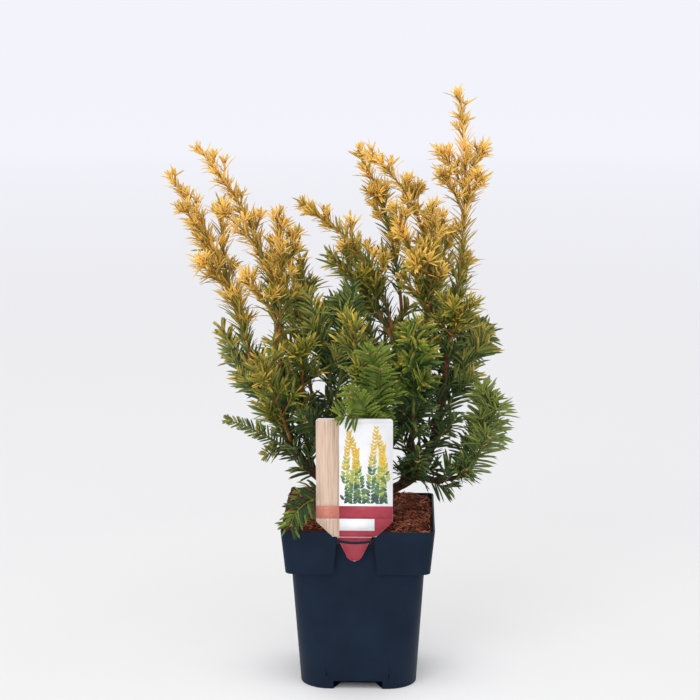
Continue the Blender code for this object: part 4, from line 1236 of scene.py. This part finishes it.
def collarSize(z):
    # the same for the collar, and the slot's half width, which flares at the flaps' rounded lower corners
    plan, corners = potPlan, potPlan["corners"]
    share = (z - plan["collarFoot"]) / (plan["height"] - plan["collarFoot"])
    below = max(0.0, plan["flapRound"] - (z - plan["collarFoot"]))
    flare = plan["flapRound"] - math.sqrt(plan["flapRound"] ** 2 - below**2)
    half = plan["collarFootHalf"] + (plan["rimHalf"] - plan["collarFootHalf"]) * share
    corner = corners["collar"] + (corners["rim"] - corners["collar"]) * share
    return half, corner, plan["slotFootHalf"] + (plan["slotTopHalf"] - plan["slotFootHalf"]) * share + flare


def strapShape():
    # a flat band with rounded edges across the slot: it sags as a parabola, and its ends turn in
    plan = strapPlan
    across = np.linspace(-1, 1, 33)
    level = plan["level"] - plan["sag"] * (1 - across**2)
    front = plan["front"] - plan["turnIn"] * np.clip((np.abs(across) - 0.80) / 0.20, 0, 1)
    x = potPlan["slotMiddle"] + across * plan["reach"]
    section = np.array(((-0.5, -0.36), (-0.5, 0.36), (-0.36, 0.5), (0.36, 0.5), (0.5, 0.36), (0.5, -0.36),
                        (0.36, -0.5), (-0.36, -0.5)))
    y = -front[:, None] + plan["deep"] * section[:, 0]
    z = level[:, None] + plan["high"] * section[:, 1]
    return np.stack(np.broadcast_arrays(x[:, None], y, z), axis=-1), cappedFaces(len(x), len(section), 0)


def makePot(finish):
    # profile carried round the pot: up the outside, over the rim, down the inside and across the floor
    plan, wall, noPanel = potPlan, potPlan["wall"], potPlan["noPanel"]
    foot, shelf = plan["collarFoot"], plan["collarFoot"] + plan["shelf"]
    rings = []
    for z, notched in ((0.0, True), (plan["notchHeight"], True), (plan["notchHeight"], False)):
        rings.append(potRing(*tubSize(z), z, plan["slotFootHalf"] * plan["underSlot"], noPanel, notched))
    for z in plan["tubLevels"]:
        rings.append(potRing(*tubSize(z), z, collarSize(foot)[2], noPanel, False))
    for z in np.concatenate([foot + np.array(plan["flapLevels"]), plan["collarLevels"]]):
        half, corner, slotHalf = collarSize(z)
        rings.append(potRing(half, corner, z, slotHalf, tubSize(z)[0], False))
    for z in (plan["height"], *plan["insideCollar"], shelf):
        half, corner, slotHalf = collarSize(z)
        rings.append(potRing(half - wall, corner - wall, z, slotHalf + wall, tubSize(z)[0] - wall, False))
    for z in (shelf, plan["insideTub"], plan["floorTop"]):
        half, corner = tubSize(z)
        rings.append(potRing(half - wall, corner - wall, z, collarSize(shelf)[2] + wall, noPanel, False))
    shell = Pile()
    shell.add(*closedShell(rings, np.array([(0.0, 0.0, plan["floorFoot"]), (0.0, 0.0, plan["floorTop"])])))
    shell.add(*strapShape())
    pot = makePiece("square_pot", shell, [finish])
    tidy = bmesh.new()            # merges the steps without depth, and turns the faces outwards
    tidy.from_mesh(pot.data)
    bmesh.ops.remove_doubles(tidy, verts=tidy.verts, dist=1e-6)
    bmesh.ops.dissolve_degenerate(tidy, edges=tidy.edges, dist=1e-7)
    bmesh.ops.recalc_face_normals(tidy, faces=tidy.faces)
    tidy.to_mesh(pot.data)
    tidy.free()
    soften = pot.modifiers.new("rounded edges", "BEVEL")
    soften.width = plan["edgeRound"]
    soften.segments = 2
    soften.limit_method = "ANGLE"
    soften.angle_limit = plan["edgeAngle"]
    soften.harden_normals = True
    keep(pot, "pot_plastic", "pot")


# Compost: a mound of coir dust under loose bark chips and fibres

compostPlan = {
    "half": 0.0632,
    "rings": 44,
    "sideSteps": 26,
    "skirt": 0.012,               # how far the mound reaches down inside the pot, and how much it narrows
    "skirtShare": 0.985,
    "chips": 1500,
    "chipLength": (0.0014, 0.0056),
    "chipWidth": (0.0006, 0.0020),
    "chipShares": (0.62, 0.38),   # russet and brown
    "fibres": 700,
    "fibreLength": (0.006, 0.020),
    "fibreRadius": (0.00018, 0.00040),
    "fibreShares": (0.45, 0.55),  # russet and straw coloured
    "reach": 0.0600,
    "seed": 9,
}


def softNoise(x, y, size, seed):
    # smooth bumps between random heights on a square lattice of the given size
    heights = np.random.default_rng(seed).uniform(-1, 1, (64, 64))
    u, v = x / size + 31.5, y / size + 31.5
    i, j = np.floor(u).astype(int) % 63, np.floor(v).astype(int) % 63
    fu, fv = u - np.floor(u), v - np.floor(v)
    fu, fv = fu * fu * (3 - 2 * fu), fv * fv * (3 - 2 * fv)
    return (heights[i, j] * (1 - fu) + heights[i + 1, j] * fu) * (1 - fv) \
        + (heights[i, j + 1] * (1 - fu) + heights[i + 1, j + 1] * fu) * fv


def compostTop(x, y):
    # the soil's level with two sizes of lumps, fading towards the trunk
    rough = 0.0017 * softNoise(x, y, 0.0085, 1) + 0.0007 * softNoise(x, y, 0.0030, 2)
    return soilLevel(x, y) + rough * np.clip(np.hypot(x, y) / 0.02 - 0.4, 0, 1)


def compostFinishes():
    # dark dust, two barks and straw coloured fibre
    dust = mottledFinish("coir dust", linear(46, 21, 17), linear(98, 49, 37), 0.95, 260, 0.15, 0.5)
    russet = mottledFinish("russet bark chip", linear(118, 58, 42), linear(166, 90, 64), 0.9, 220, 0.2)
    brown = mottledFinish("brown bark chip", linear(66, 34, 26), linear(96, 52, 38), 0.9, 220, 0.2)
    fibre = mottledFinish("coir fibre", linear(154, 90, 64), linear(206, 144, 104), 0.85, 200, 0.25)
    return [dust, russet, brown, fibre]


def squareRing(half, corner, steps):
    # x and y round a rounded square, with points spread along its sides and corners
    arc = np.linspace(0, math.pi / 2, 7)[:-1]
    side = np.linspace(0, 1, steps, endpoint=False)[:, None]
    bend = np.stack([half - corner + corner * np.cos(arc), half - corner + corner * np.sin(arc)], axis=1)
    straight = np.array((half - corner, half)) * (1 - side) + np.array((corner - half, half)) * side
    quarter = np.concatenate([bend, straight])
    return np.concatenate([quarter @ quarterTurn(number) for number in range(4)])


def moundShape():
    # squares that shrink and round off towards the middle, laid on the compost's top over a short skirt
    plan = compostPlan
    rings = []
    for share in np.linspace(1.0, 0.03, plan["rings"]):
        half = plan["half"] * share
        flat = squareRing(half, half * (0.08 + 0.85 * (1 - share)), plan["sideSteps"])
        rings.append(np.column_stack([flat, compostTop(flat[:, 0], flat[:, 1])]))
    low = rings[0] * (plan["skirtShare"], plan["skirtShare"], 1.0) - (0.0, 0.0, plan["skirt"])
    hubs = np.array([(0.0, 0.0, low[:, 2].mean()), (0.0, 0.0, float(compostTop(0.0, 0.0)))])
    return closedShell([low, *rings], hubs)


def chipShapes(dice):
    # six-sided flakes with a raised middle above and below, tipped every way
    plan, number = compostPlan, compostPlan["chips"]
    place = dice.uniform(-plan["reach"], plan["reach"], (number, 2))
    height = compostTop(place[:, 0], place[:, 1]) + dice.uniform(0.0001, 0.0013, number)
    centre = np.column_stack([place, height])
    facing = unitRows(np.column_stack([dice.normal(0, 0.45, (number, 2)), np.ones(number)]))
    heading = unitRows(np.cross(facing, dice.normal(0, 1, (number, 3))))
    across = np.cross(facing, heading)
    length, width = dice.uniform(*plan["chipLength"], number), dice.uniform(*plan["chipWidth"], number)
    angle = np.arange(6) * math.pi / 3
    ragged = dice.uniform(0.75, 1.15, (number, 6))
    ring = centre[:, None] + (length[:, None] * ragged * np.cos(angle))[..., None] * heading[:, None] \
        + (width[:, None] * ragged * np.sin(angle))[..., None] * across[:, None]
    raised = dice.uniform(0.0002, 0.0006, number)[:, None] * facing
    points = np.concatenate([ring, (centre + raised)[:, None], (centre - raised)[:, None]], axis=1)
    column = np.arange(6)
    faces = np.concatenate([fanFaces(column, 6), fanFaces(column, 7, inward=True)])
    slots = np.repeat(dice.choice((1, 2), number, p=plan["chipShares"]), len(faces))
    return points, [(copiedFaces(faces, number, 8), slots)]


def fibreShapes(dice):
    # three-sided strands that follow the surface on a bowed line, with their ends lifted by chance
    plan, number, stations = compostPlan, compostPlan["fibres"], 6
    place = dice.uniform(-plan["reach"], plan["reach"], (number, 2))
    way = dice.uniform(0, 2 * math.pi, number)
    length = dice.uniform(*plan["fibreLength"], number)
    step = np.linspace(-0.5, 0.5, stations)
    curl = dice.normal(0, 0.35, number)
    direction = np.stack([np.cos(way), np.sin(way)], axis=1)
    sideways = np.stack([-np.sin(way), np.cos(way)], axis=1)
    flat = place[:, None] + (length[:, None] * step)[..., None] * direction[:, None] \
        + (length * curl)[:, None, None] * (step**2)[:, None] * sideways[:, None]
    flat = np.clip(flat, -plan["reach"] - 0.001, plan["reach"] + 0.001)
    lift = dice.uniform(0.0, 0.0020, number)[:, None] + dice.normal(0, 0.0008, number)[:, None] * step * 2
    line = np.dstack([flat, compostTop(flat[..., 0], flat[..., 1]) + 0.0004 + np.abs(lift)])
    taper = np.array((0.3, 0.9, 1, 1, 0.8, 0.3))
    thick = (dice.uniform(*plan["fibreRadius"], number)[:, None] * taper)[..., None]
    strand = [line + thick * np.dstack([np.broadcast_to(sideways[:, None] * aside, flat.shape),
                                        np.full(flat.shape[:2], above)])
              for aside, above in ((0.0, 1.0), (-0.87, -0.5), (0.87, -0.5))]
    size = stations * 3
    quads = gridFaces(stations, 3, wrap=True)
    caps = np.array([(2, 1, 0), (size - 3, size - 2, size - 1)])
    slot = dice.choice((1, 3), number, p=plan["fibreShares"])
    return np.stack(strand, axis=2), [
        (copiedFaces(quads, number, size), np.repeat(slot, len(quads))),
        (copiedFaces(caps, number, size), np.repeat(slot, len(caps))),
    ]


def makeCompost(finishes):
    # the mound stands in for the solid, and the loose chips and fibres lie on it
    mound, loose = Pile(), Pile()
    mound.add(*moundShape())
    keep(makePiece("compost_mound", mound, finishes), "compost", "soil")
    dice = np.random.default_rng(compostPlan["seed"])
    loose.add(*chipShapes(dice))
    loose.add(*fibreShapes(dice))
    keep(makePiece("compost_chips", loose, finishes), "compost")


# Label: a white card with printed areas, hung by its tab in the slot

labelPlan = {
    "middle": -0.0026,
    "half": 0.0320,
    "top": 0.2413,
    "front": 0.0659,
    "thick": 0.0006,
    "waistHalf": 0.0180,
    "waist": 0.1398,
    "waistTop": 0.1529,
    "tabSlope": 0.46,             # the tab's sides spread by this share of the height
    "tabShoulder": 0.1394,
    "tabTip": 0.1175,
    "tabRound": 0.0068,
    "tabBend": 0.0038,
    "cornerRound": 0.0030,
    "stripWidth": 0.0193,         # wood strip at the left
    "bandTop": 0.1665,            # red band across the card, and red below it
    "bandFoot": 0.1555,
    "box": {"left": 0.0195, "right": 0.0488, "foot": 0.1453, "top": 0.1555},
    "ink": 0.00004,
    "inset": 0.00006,
    "seed": 3,
}

picturePlan = {
    "heights": (0.92, 0.70, 0.84, 0.98, 0.74, 0.88),   # of each stalk, as a share of the picture's
    "pairs": 22,
    "lean": 0.0085,
    "leafLength": 0.0062,
    "leafWidth": 1.25,
    "leafAngle": (52, 20),        # degrees off the stalk at its foot, and how many fewer at its tip
    "leaf": ((0.0, 0.0), (0.28, 0.17), (0.65, 0.16), (1.0, 0.0), (0.65, -0.16), (0.28, -0.17)),
}


def labelHalf(z):
    # half width of the card at each height: rounded top, straight sides, chamfer, then a round-tipped tab
    plan = labelPlan
    corner = plan["cornerRound"]
    over = np.clip(z - (plan["top"] - corner), 0, corner)
    body = plan["half"] - corner + np.sqrt(np.maximum(corner**2 - over**2, 0))
    chamfer = np.interp(z, (plan["waist"], plan["waistTop"]), (plan["waistHalf"], plan["half"]))
    # the tab is a circle's underside up to where straight sides touch it
    tip, slope = plan["tabRound"], plan["tabSlope"]
    centre = plan["tabTip"] + tip
    touch = math.hypot(1, slope)
    side = tip * touch + (z - centre) * slope
    foot = np.sqrt(np.maximum(tip**2 - (z - centre) ** 2, 1e-9))
    tab = np.where(z < centre - tip * slope / touch, foot, side)
    return np.where(z > plan["waist"], np.minimum(body, chamfer), tab)


def cardPoints(x, z, lift):
    # the card's front, moved out by lift; the tab bends back into the slot
    plan = labelPlan
    bend = plan["tabBend"] * np.clip(plan["tabShoulder"] - z, 0, 1) / (plan["tabShoulder"] - plan["tabTip"])
    return np.stack([x + plan["middle"], -plan["front"] + bend - lift, z], axis=-1)


def printedArea(pile, left, right, low, high, slot, inset, front, back, rows):
    # a thin slab between two sides and two levels, clipped to the card's own outline
    z = np.linspace(low, high, rows)[:, None]
    half = labelHalf(z) - inset
    x = np.clip(left + (right - left) * np.linspace(0, 1, 2), -half, half)
    z = np.broadcast_to(z, x.shape)
    face, rear = cardPoints(x, z, front), cardPoints(x, z, back)
    ring = np.concatenate([face, rear[:, ::-1]], axis=1)
    pile.add(ring, cappedFaces(rows, ring.shape[1], slot))


def labelFinishes():
    # white card, printed wood grain, red, red over wood, and four leaf tones from gold to deep green
    card, tree, shader = newFinish("white card", 0.32)
    tone = ramp(tree, cloud(tree, placed(tree), 90), (
        (0.3, linear(238, 238, 240)),
        (0.7, linear(246, 246, 248)),
    ))
    tree.links.new(tone, shader.inputs["Base Color"])
    wood, tree, shader = newFinish("printed wood", 0.36)
    grain = cloud(tree, placed(tree, (900, 900, 26)), 1.0, 5.0, 0.65)
    tone = ramp(tree, grain, (
        (0.30, linear(176, 138, 118)),
        (0.46, linear(214, 184, 162)),
        (0.62, linear(226, 200, 178)),
        (0.78, linear(204, 168, 144)),
    ))
    tree.links.new(tone, shader.inputs["Base Color"])
    red = mottledFinish("printed red", linear(160, 44, 62), linear(172, 52, 70), 0.34, 120)
    veil = mottledFinish("red veil on wood", linear(196, 118, 100), linear(210, 132, 112), 0.34, 160)
    leafTones = {
        "printed gold": (238, 196, 66),
        "printed lime": (176, 186, 74),
        "printed green": (96, 134, 84),
        "printed deep green": (62, 92, 78),
    }
    leaves = [mottledFinish(name, linear(*np.array(colour) * 0.94), linear(*colour), 0.36, 300)
              for name, colour in leafTones.items()]
    return [card, wood, red, veil, *leaves]


def cardShape(card):
    # body with a finely stepped rounded top, and the tab, all in white
    plan, thick = labelPlan, labelPlan["thick"]
    tops = plan["top"] - plan["cornerRound"] * (1 - np.sin(np.linspace(0, math.pi / 2, 8)))
    printedArea(card, -1, 1, plan["waist"] + 0.0001, float(tops[0]), 0, 0.0, 0.0, -thick, 30)
    half = labelHalf(np.minimum(tops[:, None], plan["top"] - 1e-5))
    x = np.concatenate([-half, half], axis=1)
    z = np.broadcast_to(tops[:, None], x.shape)
    ring = np.concatenate([cardPoints(x, z, 0.0), cardPoints(x, z, -thick)[:, ::-1]], axis=1)
    card.add(ring, cappedFaces(len(tops), 4, 0))
    printedArea(card, -1, 1, plan["tabTip"] + 0.00001, plan["waist"] + 0.0006, 0, 0.0, 0.0, -thick, 36)


def leafPrints(x, z, share, side, strip, low, dice):
    # oval leaves that stand off one side of a stalk, with those that reach past the picture left out
    plan = picturePlan
    leaf = np.array(plan["leaf"])
    most, less = plan["leafAngle"]
    angle = np.radians(most - less * share + dice.normal(0, 6, len(share))) * side
    size = plan["leafLength"] * (1.05 - 0.45 * share) * dice.uniform(0.85, 1.15, len(share))
    heading = np.stack([np.sin(angle), np.cos(angle)], axis=1)
    across = np.stack([np.cos(angle), -np.sin(angle)], axis=1)
    flat = np.stack([x, z], axis=1)[:, None] + size[:, None, None] * (
        leaf[:, :1] * heading[:, None] + plan["leafWidth"] * leaf[:, 1:] * across[:, None])
    least, most = flat.min(axis=1), flat.max(axis=1)
    inside = (least[:, 0] > strip + 0.0006) & (most[:, 0] < labelPlan["half"] - 0.0010) \
        & (least[:, 1] > low) & (most[:, 1] < labelPlan["top"] - 0.0015)
    flat = flat[inside]
    count = len(flat)
    tone = np.clip(7 - (share[inside] + dice.normal(0, 0.10, count)) * 4.4, 4, 7).round().astype(int)
    ink = labelPlan["ink"]
    depth = ink * (1.0 + 0.5 * dice.random(count))[:, None]
    front = cardPoints(flat[..., 0], flat[..., 1], depth)
    rear = cardPoints(flat[..., 0], flat[..., 1], np.zeros_like(depth) - ink)
    around = np.arange(6)
    following = np.roll(around, -1)
    face = around[None] if side < 0 else around[None, ::-1]
    walls = np.stack([around, around + 6, following + 6, following], axis=1)
    if side > 0:
        walls = walls[:, ::-1]
    return np.concatenate([front, rear], axis=1), [
        (copiedFaces(face, count, 12), tone),
        (copiedFaces(face[:, ::-1] + 6, count, 12), tone),
        (copiedFaces(walls, count, 12), np.repeat(tone, 6)),
    ]


def makeLabel(finishes):
    # the card with its printed areas as thin slabs of ink, then the picture
    plan, ink, inset = labelPlan, labelPlan["ink"], labelPlan["inset"]
    card, picture = Pile(), Pile()
    cardShape(card)
    left = -plan["half"]
    strip = left + plan["stripWidth"]
    # left, right, foot and top of each area, its finish and its rows
    areas = (
        (-1, strip, plan["bandTop"], plan["top"] - 0.0005, 1, 30),
        (-1, strip, plan["bandFoot"], plan["bandTop"], 3, 4),
        (-1, strip, plan["waist"], plan["bandFoot"], 1, 16),
        (strip, 1, plan["bandFoot"], plan["bandTop"], 2, 4),
        (strip, 1, plan["waist"], plan["bandFoot"], 2, 16),
        (-1, 1, plan["tabTip"] + 0.0004, plan["waist"] - 0.0004, 2, 36),
    )
    for *place, rows in areas:
        printedArea(card, *place, inset, ink, -ink, rows)
    box = plan["box"]
    sides = left + box["left"], left + box["right"]
    printedArea(card, *sides, box["foot"], box["top"], 0, inset, 2 * ink, 0, 2)
    keep(makePiece("label_card_sheet", card, finishes, smooth=False), "label_card", "label")

    # printed picture: slanting stalks set with pairs of oval leaves, green below and gold above
    dice = np.random.default_rng(plan["seed"])
    low, high = plan["bandTop"] + 0.0008, plan["top"] - 0.006
    heights = picturePlan["heights"]
    share = (np.arange(picturePlan["pairs"]) + 0.5) / picturePlan["pairs"]
    for number, height in enumerate(heights):
        footX = strip + 0.004 + number * (2 * plan["half"] - plan["stripWidth"] - 0.008) / (len(heights) - 1)
        x = footX + picturePlan["lean"] * math.sin(2.1 * number + 0.6) * share**1.5
        z = low + height * (high - low) * share
        for side in (-1, 1):
            picture.add(*leafPrints(x, z, share, side, strip, low, dice))
    keep(makePiece("label_picture", picture, finishes, smooth=False), "label_card")


bpy.context.scene.view_settings.view_transform = "Standard"
makeCamera(viewSettings)
makeLights(lightSettings)
makeStage(floorSettings)

limbPaths = makeLimbPaths()
makeBoughs(limbPaths, barkFinishes())
makeCrown(growCrown(limbPaths), crownFinishes())

makePot(potFinish())
makeCompost(compostFinishes())
makeLabel(labelFinishes())
